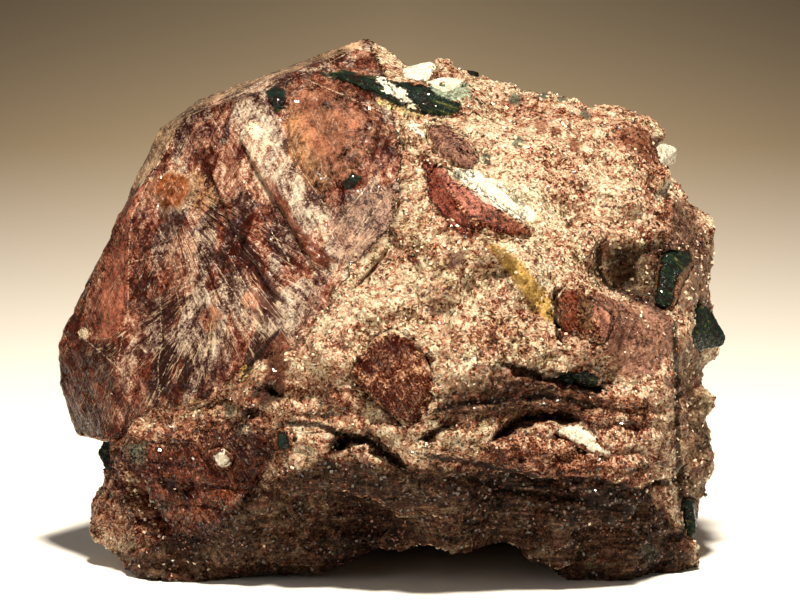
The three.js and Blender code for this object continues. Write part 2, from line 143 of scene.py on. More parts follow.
TONES = {
    "dome": Tone(0.06, 0.15, 50, ((430, 120), (520, 110), (610, 130), (620, 230), (560, 250), (450, 200))),
    # Painted light: the lit left part of the dome made paler and less red
    "dome_painted_light": Tone(0.15, -0.5, 30, ((450, 168), (490, 165), (540, 190), (560, 222), (535, 240), (500, 205))),
    "dome_rim": Tone(-0.03, 0.35, 20, (
        (500, 92), (600, 106), (662, 150), (668, 172), (640, 166), (590, 132), (510, 112),
    )),
    # Painted shade: the dome's right part darker; it is also redder
    "dome_right": Tone(-0.08, 0.3, 40, ((622, 118), (668, 150), (690, 200), (690, 245), (650, 245), (640, 180))),
    "middle": Tone(-0.04, 0.0, 40, ((400, 240), (540, 250), (560, 350), (430, 350), (350, 300))),
    "middle_dark": Tone(-0.02, -0.2, 20, ((415, 235), (470, 245), (490, 290), (450, 300), (415, 270))),
    "block": Tone(0.0, 0.35, 24, (
        (555, 300), (662, 300), (678, 330), (684, 525), (640, 485), (560, 465), (560, 400),
    )),
    # Painted shade: the block's right side face made greyer
    "block_side_shade": Tone(0.0, -0.2, 6, ((678, 325), (704, 350), (716, 450), (702, 530), (684, 530), (680, 460))),
    # Painted shade: darker under the small overhanging ledges
    "below_ledge_shade": Tone(-0.27, 0.0, 14, (
        (425, 395), (520, 375), (600, 385), (650, 400), (640, 440), (560, 420), (440, 430),
    )),
    # Painted shade: the undercut made darker and greyer, as the shade where it faces down
    "undercut_shade": Tone(-0.33, -0.1, 12, (
        (90, 600), (100, 552), (140, 548), (200, 528), (250, 490), (330, 458), (400, 466), (480, 468), (560, 474),
        (640, 486), (690, 535), (700, 600),
    )),
    "foot": Tone(-0.16, 0.4, 20, ((100, 436), (200, 420), (290, 440), (270, 480), (225, 520), (150, 545), (90, 530))),
    "below_crystal": Tone(-0.09, 0.2, 24, ((225, 372), (300, 370), (350, 400), (345, 440), (250, 455), (200, 420))),
    "beside_lens": Tone(0.08, 0.25, 20, ((280, 345), (345, 300), (355, 360), (340, 390), (290, 375))),
    "crystal_left": Tone(0.0, 0.35, 20, ((60, 345), (130, 205), (150, 300), (150, 430), (80, 434))),
    "crystal_ridge": Tone(0.26, -0.3, 20, ((225, 110), (262, 100), (310, 190), (345, 255), (330, 275), (275, 215))),
    "crystal_low": Tone(-0.03, -0.1, 30, ((170, 330), (300, 280), (300, 345), (204, 398))),
    "crystal_haze": Tone(0.02, -0.4, 22, ((176, 205), (200, 200), (240, 260), (262, 330), (236, 330), (205, 260))),
    "crystal_whole": Tone(-0.05, 0.1, 16, CRYSTAL_SEEN),
    "below_blade": Tone(0.12, 0.1, 16, (
        (415, 225), (470, 240), (500, 236), (530, 250), (540, 290), (500, 260), (440, 262),
    )),
    # Painted shade: the recess darker and greyer
    "recess_shade": Tone(-0.04, -0.2, 10, RECESS_SEEN),
    "crystal_edge": Tone(-0.12, 0.2, 12, ((60, 345), (82, 330), (118, 345), (116, 440), (78, 436))),
    "block_top": Tone(-0.08, 0.1, 14, ((596, 296), (640, 302), (668, 316), (676, 345), (640, 348), (604, 344))),
    "ledge_front": Tone(-0.16, 0.4, 18, ((480, 436), (540, 424), (620, 440), (650, 470), (600, 470), (500, 462))),
    "lobe_wall": Tone(0.0, 0.1, 8, ((650, 206), (676, 190), (680, 244), (664, 250), (648, 244))),
    # Painted highlights: the hollow in the foot made paler; it is also redder
    "foot_hollow_painted_light": Tone(0.3, 0.3, 8, ((124, 470), (142, 480), (156, 512), (164, 536), (140, 530), (126, 500))),
    "undercut_left": Tone(0.09, 0.0, 20, (
        (90, 600), (100, 556), (200, 536), (250, 488), (345, 484), (345, 560), (260, 600),
    )),
    "foot_strip": Tone(0.12, -0.1, 12, ((112, 548), (222, 548), (226, 580), (130, 580))),
    "left_foot": Tone(0.0, 0.2, 14, ((96, 500), (118, 500), (140, 545), (220, 570), (200, 580), (110, 560))),
    "upper_facet": Tone(-0.16, 0.4, 10, UPPER_FACET_SEEN),
    "left_facet": Tone(-0.08, 0.3, 10, LEFT_FACET_SEEN),
    "left_strip": Tone(0.0, 0.4, 10, LEFT_STRIP_SEEN),
    "lens_low": Tone(-0.27, 0.2, 14, ((366, 388), (400, 384), (428, 396), (420, 424), (396, 420), (376, 402))),
    "lens_high": Tone(-0.4, 0.1, 14, ((356, 370), (376, 343), (396, 334), (412, 350), (400, 372), (370, 378))),
    "blade_tip": Tone(-0.12, 0.2, 10, ((476, 200), (504, 212), (530, 233), (500, 236), (478, 222))),
    "ridge_low": Tone(-0.18, 0.3, 16, ((430, 452), (520, 455), (640, 470), (640, 486), (540, 476), (430, 468))),
    "fan": Tone(-0.05, -0.5, 14, FAN_SEEN),
}
STAINS_AND_PAINTED_LIGHT = {
    "shoulder_red": ColourPatch(BRICK, 0.6, 8, ((612, 130), (640, 124), (664, 150), (652, 160), (625, 146))),
    "shoulder_pale": ColourPatch(WHITE, 0.6, 6, ((655, 190), (672, 178), (674, 188), (660, 206), (652, 202))),
    "lobe": ColourPatch((0.17, 0.092, 0.06), 0.65, 8, (
        (674, 195), (694, 205), (712, 250), (712, 312), (690, 312), (666, 300), (664, 250),
    )),
    # Painted shade: the recess stained umber, and its lower wall soot-dark
    "recess_shade": ColourPatch(UMBER, 0.6, 12, RECESS_SEEN),
    "recess_low": ColourPatch(SOOT, 0.8, 6, ((612, 284), (640, 290), (664, 300), (668, 320), (640, 304))),
    "ochre_streak": ColourPatch(OCHRE, 0.9, 9, (
        (486, 244), (505, 250), (534, 276), (554, 300), (556, 326), (544, 322), (526, 298),
    )),
    # The block's right side face stained darker brown: its own brown, and painted shade
    "block_side_brown_shade": ColourPatch(BROWN, 0.5, 8, ((676, 325), (704, 350), (716, 450), (702, 530), (684, 530), (680, 460))),
    # Painted shade: the undercut stained dark umber, as the shade under the overhang
    "undercut_shade": ColourPatch(UMBER, 0.62, 14, (
        (90, 600), (100, 552), (140, 548), (200, 530), (250, 492), (330, 458), (400, 466), (480, 468), (560, 476),
        (640, 488), (690, 535), (700, 600),
    )),
    "foot_red": ColourPatch(WINE, 0.55, 12, (
        (120, 440), (200, 450), (270, 455), (262, 480), (225, 515), (180, 542), (150, 530),
    )),
    "foot_grey": ColourPatch(GREEN_GREY, 0.6, 8, ((126, 442), (146, 442), (146, 465), (132, 462))),
    # Painted shade: soot in a small hollow
    "lower_hollow_shade": ColourPatch(SOOT, 0.8, 8, ((258, 380), (282, 378), (284, 398), (266, 402))),
    "lower_dark": ColourPatch(WINE, 0.7, 12, ((262, 338), (284, 332), (292, 372), (282, 392), (262, 384))),
    "upper_facet": ColourPatch((0.27, 0.105, 0.06), 0.6, 10, UPPER_FACET_SEEN),
    "upper_core": ColourPatch(BRICK, 0.5, 12, ((296, 96), (322, 92), (345, 120), (350, 160), (330, 178), (312, 150))),
    "upper_orange": ColourPatch((0.26, 0.13, 0.04), 0.45, 22, (
        (284, 104), (300, 112), (312, 150), (334, 182), (318, 190), (290, 150),
    )),
    "amber_side": ColourPatch((0.22, 0.12, 0.055), 0.5, 12, ((190, 168), (214, 176), (222, 205), (198, 216), (186, 200))),
    "amber_rim": ColourPatch(CREAM, 0.35, 8, ((150, 178), (170, 164), (190, 174), (194, 198), (184, 214), (160, 210))),
    "amber": ColourPatch(AMBER, 1.0, 9, (
        (156, 178), (172, 169), (187, 178), (190, 195), (180, 208), (163, 206), (154, 192),
    )),
    "below_amber": ColourPatch(PLUM, 0.75, 8, ((160, 210), (180, 210), (182, 228), (166, 230))),
    "left_strip": ColourPatch((0.21, 0.06, 0.034), 0.75, 12, LEFT_STRIP_SEEN),
    "left_facet": ColourPatch(WINE, 0.5, 12, LEFT_FACET_SEEN),
    "gash": ColourPatch(PLUM, 1.0, 6, ((226, 214), (238, 222), (260, 262), (280, 292), (284, 304), (270, 298), (248, 268))),
    "gash_low": ColourPatch(PLUM, 0.7, 8, ((248, 288), (275, 292), (282, 318), (262, 322), (250, 308))),
    "dark_high": ColourPatch(WINE, 0.6, 10, ((222, 140), (238, 146), (240, 178), (228, 182))),
    "red_low": ColourPatch(BRICK, 0.6, 8, ((198, 312), (216, 300), (222, 316), (206, 340))),
    "fan": ColourPatch(MAUVE, 0.55, 12, FAN_SEEN),
    "blade_rose": ColourPatch((0.26, 0.095, 0.07), 0.8, 8, (
        (436, 160), (452, 180), (486, 198), (520, 230), (500, 232), (470, 215), (448, 190),
    )),
    "blade_dark": ColourPatch((0.11, 0.022, 0.014), 0.9, 6, (
        (418, 150), (430, 158), (446, 186), (464, 216), (480, 238), (462, 236), (444, 222), (428, 190),
    )),
    "blade_tip": ColourPatch(WINE, 0.7, 8, ((482, 206), (506, 214), (530, 233), (512, 237), (488, 232))),
    "dark_mauve": ColourPatch((0.15, 0.075, 0.055), 0.8, 8, RED_SEEN["dark"]),
    "block_mauve": ColourPatch((0.29, 0.14, 0.095), 0.75, 12, (
        (590, 294), (640, 302), (668, 316), (676, 345), (650, 380), (620, 372), (604, 344),
    )),
    "facet_dark": ColourPatch(WINE, 0.7, 6, ((557, 300), (566, 289), (580, 290), (574, 332), (560, 342))),
    "facet_olive": ColourPatch((0.085, 0.045, 0.02), 0.7, 6, ((580, 290), (594, 302), (592, 330), (576, 330))),
    "facet_right": ColourPatch((0.17, 0.06, 0.04), 0.6, 8, ((594, 302), (612, 322), (640, 330), (636, 345), (604, 341))),
    "amber_core": ColourPatch(BRICK, 0.6, 6, ((166, 186), (176, 184), (180, 196), (172, 204), (164, 200))),
    "below_top": ColourPatch((0.46, 0.36, 0.15), 0.6, 6, (
        (376, 96), (396, 100), (426, 112), (424, 120), (396, 112), (374, 104),
    )),
    "top_green": ColourPatch((0.33, 0.42, 0.3), 0.9, 4, ((428, 84), (472, 82), (470, 99), (430, 105))),
    # Painted shade: umber in the shadowed gaps under the small ledges
    "ledges": ColourPatch(UMBER, 0.55, 16, (
        (436, 374), (500, 366), (560, 386), (620, 396), (612, 414), (560, 420), (500, 416), (440, 428),
    )),
    "ridge_core": ColourPatch(WINE, 0.8, 6, (
        (262, 178), (272, 178), (300, 225), (335, 262), (322, 270), (300, 250), (280, 214),
    )),
    # Painted highlight: a pale glint on the crystal
    "sparkle": ColourPatch(CREAM, 0.5, 10, ((243, 120), (255, 117), (263, 130), (260, 143), (249, 138))),
    "bevel": ColourPatch((0.26, 0.165, 0.095), 0.7, 5, (
        (120, 200), (160, 125), (200, 90), (366, 36), (362, 46), (230, 95), (190, 113), (150, 175),
    )),
}

# Fibres spread from a place in the front view, between two bearings in radians, as far as a reach in millimetres
Fan = namedtuple("Fan", "head low high reach")
FANS = (Fan((166, 172), -1.55, -0.15, 27), Fan((226, 258), -2.8, -1.5, 21), Fan((316, 292), 0.5, 1.3, 17))

# Single grains that stand out, the healed cracks, and the open cracks and gaps under ledges, whose shade is painted
# as dark lines
SPOTS = (
    Spot(GREEN_GREY, 0.9, 6, (515, 100)), Spot(GREEN_GREY, 0.9, 5, (543, 95)), Spot(GREEN_GREY, 0.9, 5, (562, 99)),
    Spot(GREEN_GREY, 0.9, 5, (585, 114)), Spot(GREEN_GREY, 0.8, 6, (519, 142)), Spot(GREEN_GREY, 0.8, 6, (486, 157)),
    Spot(GREEN_GREY, 0.9, 5, (458, 175)), Spot(SOOT, 0.9, 4, (570, 224)), Spot(SOOT, 0.9, 4, (487, 163)),
    Spot(BRICK, 0.8, 6, (556, 132)), Spot(BRICK, 0.7, 7, (574, 146)), Spot(BRICK, 0.6, 8, (540, 125)),
    Spot(SOOT, 0.9, 6, (622, 255)), Spot(SOOT, 0.8, 7, (248, 414)), Spot(CREAM, 0.8, 7, (243, 430)),
    Spot(CREAM, 0.8, 7, (231, 412)), Spot(SOOT, 0.8, 6, (255, 392)), Spot(CREAM, 0.7, 6, (84, 334)),
    Spot(OCHRE, 0.6, 8, (246, 374)), Spot(SOOT, 0.8, 4, (532, 310)), Spot(SOOT, 0.8, 6, (646, 498)),
    Spot(SOOT, 0.7, 8, (300, 504)), Spot(SOOT, 0.7, 9, (336, 446)), Spot(GREEN_GREY, 0.6, 8, (650, 552)),
    Spot(CREAM, 0.6, 7, (622, 420)), Spot(SOOT, 0.7, 7, (168, 484)), Spot(SOOT, 0.7, 6, (186, 496)),
    Spot(PLUM, 0.7, 8, (265, 400)), Spot(ROSE, 0.6, 9, (250, 300)), Spot(MAUVE, 0.7, 9, (456, 258)),
)
SEAMS = (
    ((150, 177), (140, 200), (132, 214), (129, 245), (128, 305), (122, 340), (116, 368)),
    ((160, 297), (162, 342), (158, 362), (159, 400)),
    ((176, 290), (182, 313)),
    ((208, 300), (225, 287), (227, 300), (207, 337), (185, 365), (160, 392)),
    ((80, 335), (100, 352), (115, 365), (132, 384)),
    ((137, 425), (150, 402), (175, 350)),
    ((240, 130), (247, 150), (265, 175), (275, 205), (290, 230), (302, 255), (322, 272)),
    ((250, 125), (290, 170), (310, 202), (325, 225), (345, 255), (350, 270)),
    ((150, 177), (170, 145), (190, 115), (230, 97), (295, 77), (325, 65), (362, 45)),
    ((285, 87), (282, 130), (300, 170), (318, 195), (330, 215)),
    ((312, 82), (350, 98), (382, 112), (388, 130)),
    ((328, 238), (352, 205), (366, 188)),
    ((342, 250), (372, 214), (384, 196)),
    ((212, 118), (232, 150), (252, 200), (290, 262)),
    ((132, 262), (160, 255), (176, 268), (200, 262)),
    ((186, 230), (214, 262), (238, 300), (246, 330)),
    ((196, 208), (226, 250), (262, 316)),
)
# Where the crystal's face runs into the rock, and both skins rise to meet
CRYSTAL_EDGE = ((300, 345), (330, 292), (345, 280), (398, 236), (408, 200), (408, 110))
# Painted shade: dark lines along the open cracks, the gaps under the small ledges and the block's edge groove
SHADED_CRACKS = (
    ((675, 328), (677, 390), (678, 450), (681, 500), (687, 532)),
    ((503, 364), (545, 378), (575, 383), (600, 388)),
    ((424, 438), (440, 430), (457, 425)),
    ((495, 438), (518, 421), (540, 415), (582, 421)),
    ((438, 410), (470, 402), (505, 400), (545, 396), (590, 404)),
    ((335, 449), (350, 440), (370, 440), (404, 468)),
    ((290, 424), (318, 424), (345, 436)),
    ((640, 492), (655, 482), (668, 484), (682, 470)),
    ((246, 372), (262, 350), (276, 334)),
    ((430, 456), (480, 464), (540, 480), (600, 482), (642, 494)),
    ((556, 296), (556, 320), (560, 342)),
    ((600, 250), (598, 268), (608, 286), (640, 300)),
    ((470, 478), (520, 492), (580, 500), (630, 512)),
)
# The pieces that stand out of the rock so far that their whole skin is their own mineral
STANDING = (
    "aegirine_right", "aegirine_left", "aegirine_sliver", "feldspar_top", "feldspar_top_green", "feldspar_shoulder",
)

# A skin is broken into cells of a size in millimetres, of which each leans its own way by up to a share of its size
Cells = namedtuple("Cells", "size lean kind")
ROCK_CELLS = (Cells(3.4, 0.26, 11), Cells(1.5, 0.32, 21), Cells(0.75, 0.45, 31))
CRYSTAL_CELLS = (Cells(5.0, 0.09, 41), Cells(1.6, 0.12, 51))
SEATED_CELLS = (Cells(1.5, 0.10, 61), Cells(0.6, 0.16, 71))
ROCK_GROWTH = 0.12  # how far a skin stands out from its solid, in millimetres
CRYSTAL_GROWTH = 0.55
SEATED_GROWTH = {"eudialyte": 0.42, "aegirine": 0.42, "feldspar": 0.3}
SOFT_LEAN = 0.4  # the share of its lean that the soft feldspar keeps
SEATED_STEP = 0.2 * MM
EDGE_REACH = 6  # pixels

# Loose grains: their number to a square metre where they lie thickest, and their least and greatest sizes
GRAINS_PER_AREA = 1.4e6
SMALLEST_GRAIN = (0.12 * MM, 0.10 * MM, 0.08 * MM)
LARGEST_GRAIN = (0.46 * MM, 0.36 * MM, 0.22 * MM)


class SpecimenLook(bpy.types.PropertyGroup):
    """Sizes and colours of the specimen's surface."""

    rock_step: bpy.props.FloatProperty(
        name="Rock skin", description="Spacing of the rock's fine skin", default=0.44 * MM, min=0.2 * MM,
        unit="LENGTH",
    )
    crystal_step: bpy.props.FloatProperty(
        name="Crystal skin", description="Spacing of the crystals' fine skin", default=0.3 * MM, min=0.1 * MM,
        unit="LENGTH",
    )
    grain: bpy.props.FloatProperty(
        name="Grain", description="Width of a grain in the rock", default=0.42 * MM, min=0.1 * MM, unit="LENGTH"
    )
    fine_grain: bpy.props.FloatProperty(
        name="Fine grain", description="Width of the finest grains", default=0.17 * MM, min=0.05 * MM, unit="LENGTH"
    )
    pale: bpy.props.FloatVectorProperty(
        name="Pale grains", description="Colour of the palest grains", default=CREAM, subtype="COLOR", min=0, max=1
    )
    rose: bpy.props.FloatVectorProperty(
        name="Rose grains", description="Colour of the pink grains", default=ROSE, subtype="COLOR", min=0, max=1
    )
    dark: bpy.props.FloatVectorProperty(
        name="Dark grains", description="Colour of the darkest grains", default=WINE, subtype="COLOR", min=0, max=1
    )


class CrystalLook(bpy.types.PropertyGroup):
    """Colours of the crystals."""

    wine: bpy.props.FloatVectorProperty(
        name="Wine", description="Body colour of the large crystal", default=(0.090, 0.020, 0.010), subtype="COLOR",
        min=0, max=1,
    )
    veil: bpy.props.FloatVectorProperty(
        name="Veils", description="Colour of the veils in it", default=(0.225, 0.158, 0.118), subtype="COLOR",
        min=0, max=1,
    )
    seam: bpy.props.FloatVectorProperty(
        name="Seams", description="Colour of its healed cracks", default=(0.66, 0.50, 0.33), subtype="COLOR", min=0,
        max=1,
    )
    lens: bpy.props.FloatVectorProperty(
        name="Red crystals", description="Body colour of the small red crystals", default=(0.090, 0.018, 0.007),
        subtype="COLOR", min=0, max=1,
    )
    prism: bpy.props.FloatVectorProperty(
        name="Prisms", description="Colour of the dark green prisms", default=(0.006, 0.016, 0.012),
        subtype="COLOR", min=0, max=1,
    )
    cleavage: bpy.props.FloatVectorProperty(
        name="Cleavages", description="Colour of the pale cleavages", default=(0.86, 0.83, 0.70), subtype="COLOR",
        min=0, max=1,
    )


class StageLook(bpy.types.PropertyGroup):
    """Light and floor."""

    key_power: bpy.props.FloatProperty(
        name="Key light", description="Power of the lamp over the specimen", default=4.6, min=0, unit="POWER"
    )
    fill_power: bpy.props.FloatProperty(
        name="Fill light", description="Power of the wide lamp at the left", default=0.5, min=0, unit="POWER"
    )
    # The floor's painted pool of light: pale near, painted shade far behind, and a painted glow in the middle of the
    # view
    near_floor: bpy.props.FloatVectorProperty(
        name="Floor", description="Colour of the floor round the specimen", default=(0.90, 0.88, 0.83),
        subtype="COLOR", min=0, max=1,
    )
    far_floor_shade: bpy.props.FloatVectorProperty(
        name="Far floor", description="Colour of the floor far behind", default=(0.58, 0.44, 0.28), subtype="COLOR",
        min=0, max=1,
    )
    glow: bpy.props.FloatVectorProperty(
        name="Glow", description="Colour of the floor far behind, in its middle", default=(0.98, 0.76, 0.48),
        subtype="COLOR", min=0, max=1,
    )


class Wire:
    """An output socket, whose arithmetic adds Math nodes."""

    def __init__(self, tree, node, output):
        self.tree = tree
        self.node = node
        self.socket = node.outputs[output]

    def __getitem__(self, output):
        return Wire(self.tree, self.node, output)

    def math(self, operation, *others):
        return self.tree.math(operation, self, *others)

    def __add__(self, other):
        return self.tree.math("ADD", self, other)

    __radd__ = __add__

    def __sub__(self, other):
        return self.tree.math("SUBTRACT", self, other)

    def __rsub__(self, other):
        return self.tree.math("SUBTRACT", other, self)

    def __mul__(self, other):
        return self.tree.math("MULTIPLY", self, other)

    __rmul__ = __mul__

    def __truediv__(self, other):
        return self.tree.math("DIVIDE", self, other)


class NodeTree:
    """A node tree under construction."""

    def __init__(self, tree):
        self.nodes = tree.nodes
        self.links = tree.links

    def add(self, kind, settings=None, inputs=None, output=0):
        node = self.nodes.new(kind)
        for name, value in (settings or {}).items():
            if name == "stops":
                self.set_stops(node.color_ramp, value)
            else:
                setattr(node, name, value)
        self.feed(node, inputs or {})
        return Wire(self, node, output)

    def feed(self, node, inputs):
        for name, value in inputs.items():
            if isinstance(value, Wire):
                self.links.new(value.socket, node.inputs[name])
            else:
                node.inputs[name].default_value = value

    @staticmethod
    def set_stops(ramp, stops):
        while len(ramp.elements) < len(stops):
            ramp.elements.new(1)
        for element, (position, colour) in zip(ramp.elements, stops):
            element.position = position
            element.color = (*colour, 1)

    def math(self, operation, *values):
        return self.add("ShaderNodeMath", {"operation": operation}, dict(enumerate(values)))


class Finish(NodeTree):
    """A material under construction."""

    def __init__(self, name):
        self.material = bpy.data.materials.new(name)
        self.material.use_nodes = True
        super().__init__(self.material.node_tree)
        self.nodes.clear()

    def vector(self, operation, first, second, output="Vector"):
        return self.add("ShaderNodeVectorMath", {"operation": operation}, {0: first, 1: second}, output)

    def scaled(self, vector, scale):
        return self.add("ShaderNodeVectorMath", {"operation": "SCALE"}, {0: vector, "Scale": scale}, "Vector")

    def place(self):
        """Place on the object, in millimetres."""
        place = self.add("ShaderNodeTexCoord", output="Object")
        return self.scaled(place, 1 / MM)

    def attribute(self, name, output="Fac"):
        return self.add("ShaderNodeAttribute", {"attribute_name": name}, output=output)

    def noise(self, place, size, detail=2.0, roughness=0.5, output="Fac"):
        inputs = {"Vector": place, "Scale": 1 / size, "Detail": detail, "Roughness": roughness}
        return self.add("ShaderNodeTexNoise", {}, inputs, output)

    def stretched(self, place, turn, sizes):
        """The place, turned about the view's axis and squeezed, so that a pattern on it runs one way."""
        settings = {"vector_type": "TEXTURE"}
        inputs = {"Vector": place, "Rotation": (0, turn, 0), "Scale": sizes}
        return self.add("ShaderNodeMapping", settings, inputs, "Vector")

    def cells(self, place, size, feature="F1"):
        inputs = {"Vector": place, "Scale": 1 / size}
        return self.add("ShaderNodeTexVoronoi", {"feature": feature}, inputs, "Distance")

    def red(self, colour):
        return self.add("ShaderNodeSeparateColor", {}, {0: colour}, "Red")

    def green(self, colour):
        return self.add("ShaderNodeSeparateColor", {}, {0: colour}, "Green")

    def blue(self, colour):
        return self.add("ShaderNodeSeparateColor", {}, {0: colour}, "Blue")

    def ramp(self, value, stops):
        return self.add("ShaderNodeValToRGB", {"stops": stops}, {"Fac": value}, "Color")

    def step(self, value, low, high):
        """0 below low, 1 above high, and smooth between."""
        settings = {"interpolation_type": "SMOOTHSTEP"}
        return self.add("ShaderNodeMapRange", settings, {"Value": value, "From Min": low, "From Max": high}, "Result")

    def mix(self, share, first, second, blend="MIX"):
        """A colour or the RGB of a property between two others."""
        settings = {"data_type": "RGBA", "blend_type": blend}
        opaque = [(*c, 1) if not isinstance(c, Wire) and len(c) == 3 else c for c in (first, second)]
        return self.add("ShaderNodeMix", settings, {0: share, 6: opaque[0], 7: opaque[1]}, 2)

    def tilted(self, place, cells, size):
        """Height in metres of cells that each lean their own way."""
        offset = self.vector("SUBTRACT", self.scaled(place, 1 / size), cells["Position"])
        lean = self.vector("SUBTRACT", cells["Color"], (0.5, 0.5, 0.5))
        return self.vector("DOT_PRODUCT", offset, lean, "Value") * (size * MM)

    def surface(self, inputs, height):
        """A shader with its inputs and a bump, whose height is in metres."""
        bump = self.add("ShaderNodeBump", {}, {"Height": height, "Strength": 1.0, "Distance": 1.0}, "Normal")
        shader = self.add("ShaderNodeBsdfPrincipled", {}, {**inputs, "Normal": bump}, "BSDF")
        self.add_output(shader)
        return self.material

    def add_output(self, shader):
        self.feed(self.nodes.new("ShaderNodeOutputMaterial"), {"Surface": shader})


Ground = namedtuple(
    "Ground", "place warped flow coarse fine coarse_luck fine_luck broad patchy blotch paleness redness"
)


def ground(s):
    """What all parts of the finish share: grains, blotches, and the tones that the skin carries."""
    look = bpy.context.scene.specimen_look
    place = s.place()
    wander = s.vector("SUBTRACT", s.noise(place, 1.3, 2, output="Color"), (0.5, 0.5, 0.5))
    warped = s.vector("ADD", place, s.scaled(wander, 0.8))
    drift = s.vector("SUBTRACT", s.noise(place, 6, 2, output="Color"), (0.5, 0.5, 0.5))
    flow = s.vector("ADD", place, s.scaled(drift, 1.2))
    coarse = s.cells(warped, look.grain / MM)
    fine = s.cells(warped, look.fine_grain / MM)
    return Ground(
        place, warped, flow, coarse, fine, s.red(coarse["Color"]), s.red(fine["Color"]), s.noise(place, 8, 3, 0.6),
        s.noise(place, 1.9, 4, 0.7), s.noise(place, 0.8, 2, 0.6), s.attribute("paleness"), s.attribute("redness"),
    )


def rock_look(s, g):
    """Tone and colour of the granular rock."""
    look = bpy.context.scene.specimen_look
    bedding = s.noise(s.stretched(g.place, 0, (3.5, 3.5, 0.4)), 1, 3, 0.6)
    shade = s.step(g.paleness, -0.15, -0.35)
    tone = (
        0.22 * g.coarse_luck + 0.50 * g.fine_luck + 1.2 * (g.blotch - 0.5) + 0.8 * (g.broad - 0.5)
        + 0.95 * (g.patchy - 0.5) + shade * (1.3 * (bedding - 0.5) + 0.5 * (g.broad - 0.5)) + g.paleness + 0.13
    )
    red_stops = [
        (0.0, (0.020, 0.004, 0.002)), (0.15, tuple(look.dark)), (0.27, BRICK), (0.40, tuple(look.rose)),
        (0.54, PEACH), (0.70, tuple(look.pale)), (0.95, WHITE),
    ]
    brown_stops = [
        (0.0, (0.014, 0.006, 0.003)), (0.14, (0.060, 0.024, 0.010)), (0.27, (0.150, 0.080, 0.038)),
        (0.40, (0.29, 0.190, 0.100)), (0.54, (0.42, 0.325, 0.200)), (0.70, (0.56, 0.48, 0.32)), (0.92, WHITE),
    ]
    hue = g.redness + 2.0 * (s.noise(g.place, 2.2, 2, 0.6) - 0.5) + 0.6 * (s.green(g.coarse["Color"]) - 0.5)
    hue = s.step(hue, -0.35, 0.2)
    colour = s.mix(hue, s.ramp(tone, brown_stops), s.ramp(tone, red_stops))
    veins = s.step((s.noise(g.place, 1.6, 3, 0.65) - 0.5).math("ABSOLUTE"), 0.03, 0.0)
    colour = s.mix(veins * hue * 0.55, colour, BRICK)
    specks = s.cells(g.place, 0.75)
    dark = s.step(specks, 0.27, 0.19) * s.step(s.red(specks["Color"]), 0.52, 0.6)
    colour = s.mix(dark * 0.8, colour, UMBER)
    # White specks: pale grains, painted bright as the glints on them, and fewer where the skin is darker
    pale = s.step(specks, 0.25, 0.17) * s.step(s.red(specks["Color"]), 0.14, 0.08) * s.step(g.paleness, -0.4, 0.0)
    return tone, s.mix(pale * 0.8, colour, WHITE)


def fan(s, flat, head, low, high, reach):
    """Fibres that spread from a place: their lay, and where they run."""
    offset = s.vector("SUBTRACT", flat, on_front(head))
    parts = s.add("ShaderNodeSeparateXYZ", {}, {0: offset}, "X")
    bearing = parts["Z"].math("ARCTAN2", parts)
    far = s.vector("LENGTH", offset, (0, 0, 0), "Value")
    along = s.add("ShaderNodeCombineXYZ", {}, {"X": bearing * 18, "Y": far / 9}, "Vector")
    where = s.step(bearing, low, low + 0.25) * s.step(bearing, high, high - 0.25)
    where = where * s.step(far, reach, 0.6 * reach) * s.step(far, 2.5, 6)
    return s.noise(along, 1, 3, 0.6), where


def glass_look(s, g):
    """Tone, colour and threads of the large crystal: shards and fibres of glass, and the veils in it."""
    crystal = bpy.context.scene.crystal_look
    flat = s.vector("MULTIPLY", g.flow, (1, 0, 1))
    threads, lay, free = 0.0, 0.0, 1.0
    for head, low, high, reach in FANS:
        run, where = fan(s, flat, head, low, high, reach)
        threads = s.step((run - 0.5).math("ABSOLUTE"), 0.020, 0.0) * where + threads
        lay = (run - 0.5) * where + lay
        free = (1 - where) * free
    for turn in (math.radians(60), math.radians(-68)):
        run = s.noise(s.stretched(g.flow, turn, (9, 2, 0.5)), 1, 3, 0.6)
        threads = s.step((run - 0.5).math("ABSOLUTE"), 0.016, 0.0) * free * 0.5 + threads
        lay = (run - 0.5) * (0.35 + 0.35 * free) + lay
    threads = threads * s.step(g.patchy + 0.5 * (g.broad - 0.5), 0.40, 0.56)
    right = s.cells(s.stretched(g.flow, math.radians(57), (8, 4, 2.4)), 1)
    left = s.cells(s.stretched(g.flow, math.radians(-72), (7, 3, 2.0)), 1)
    tone = (
        0.26 * s.red(right["Color"]) + 0.24 * s.red(left["Color"]) + 0.95 * lay + 0.5 * (g.broad - 0.5)
        + 0.9 * (g.patchy - 0.5) + 0.45 * (g.blotch - 0.5) + 0.34 * (g.fine_luck - 0.5) + g.paleness + 0.22
    )
    red_stops = [
        (0.20, (0.020, 0.003, 0.001)), (0.33, (0.052, 0.009, 0.004)), (0.45, tuple(crystal.wine)),
        (0.56, (0.165, 0.054, 0.030)), (0.70, (0.31, 0.155, 0.100)), (0.95, (0.60, 0.49, 0.36)),
    ]
    grey_stops = [
        (0.20, (0.016, 0.004, 0.002)), (0.32, (0.036, 0.011, 0.009)), (0.45, (0.082, 0.038, 0.029)),
        (0.58, tuple(crystal.veil)), (0.74, (0.37, 0.295, 0.220)), (0.95, (0.56, 0.49, 0.38)),
    ]
    hue = s.step(g.redness + 1.1 * (s.green(left["Color"]) - 0.5) + 1.2 * (g.patchy - 0.5), -0.25, 0.25)
    return tone, s.mix(hue, s.ramp(tone, grey_stops), s.ramp(tone, red_stops)), threads, lay


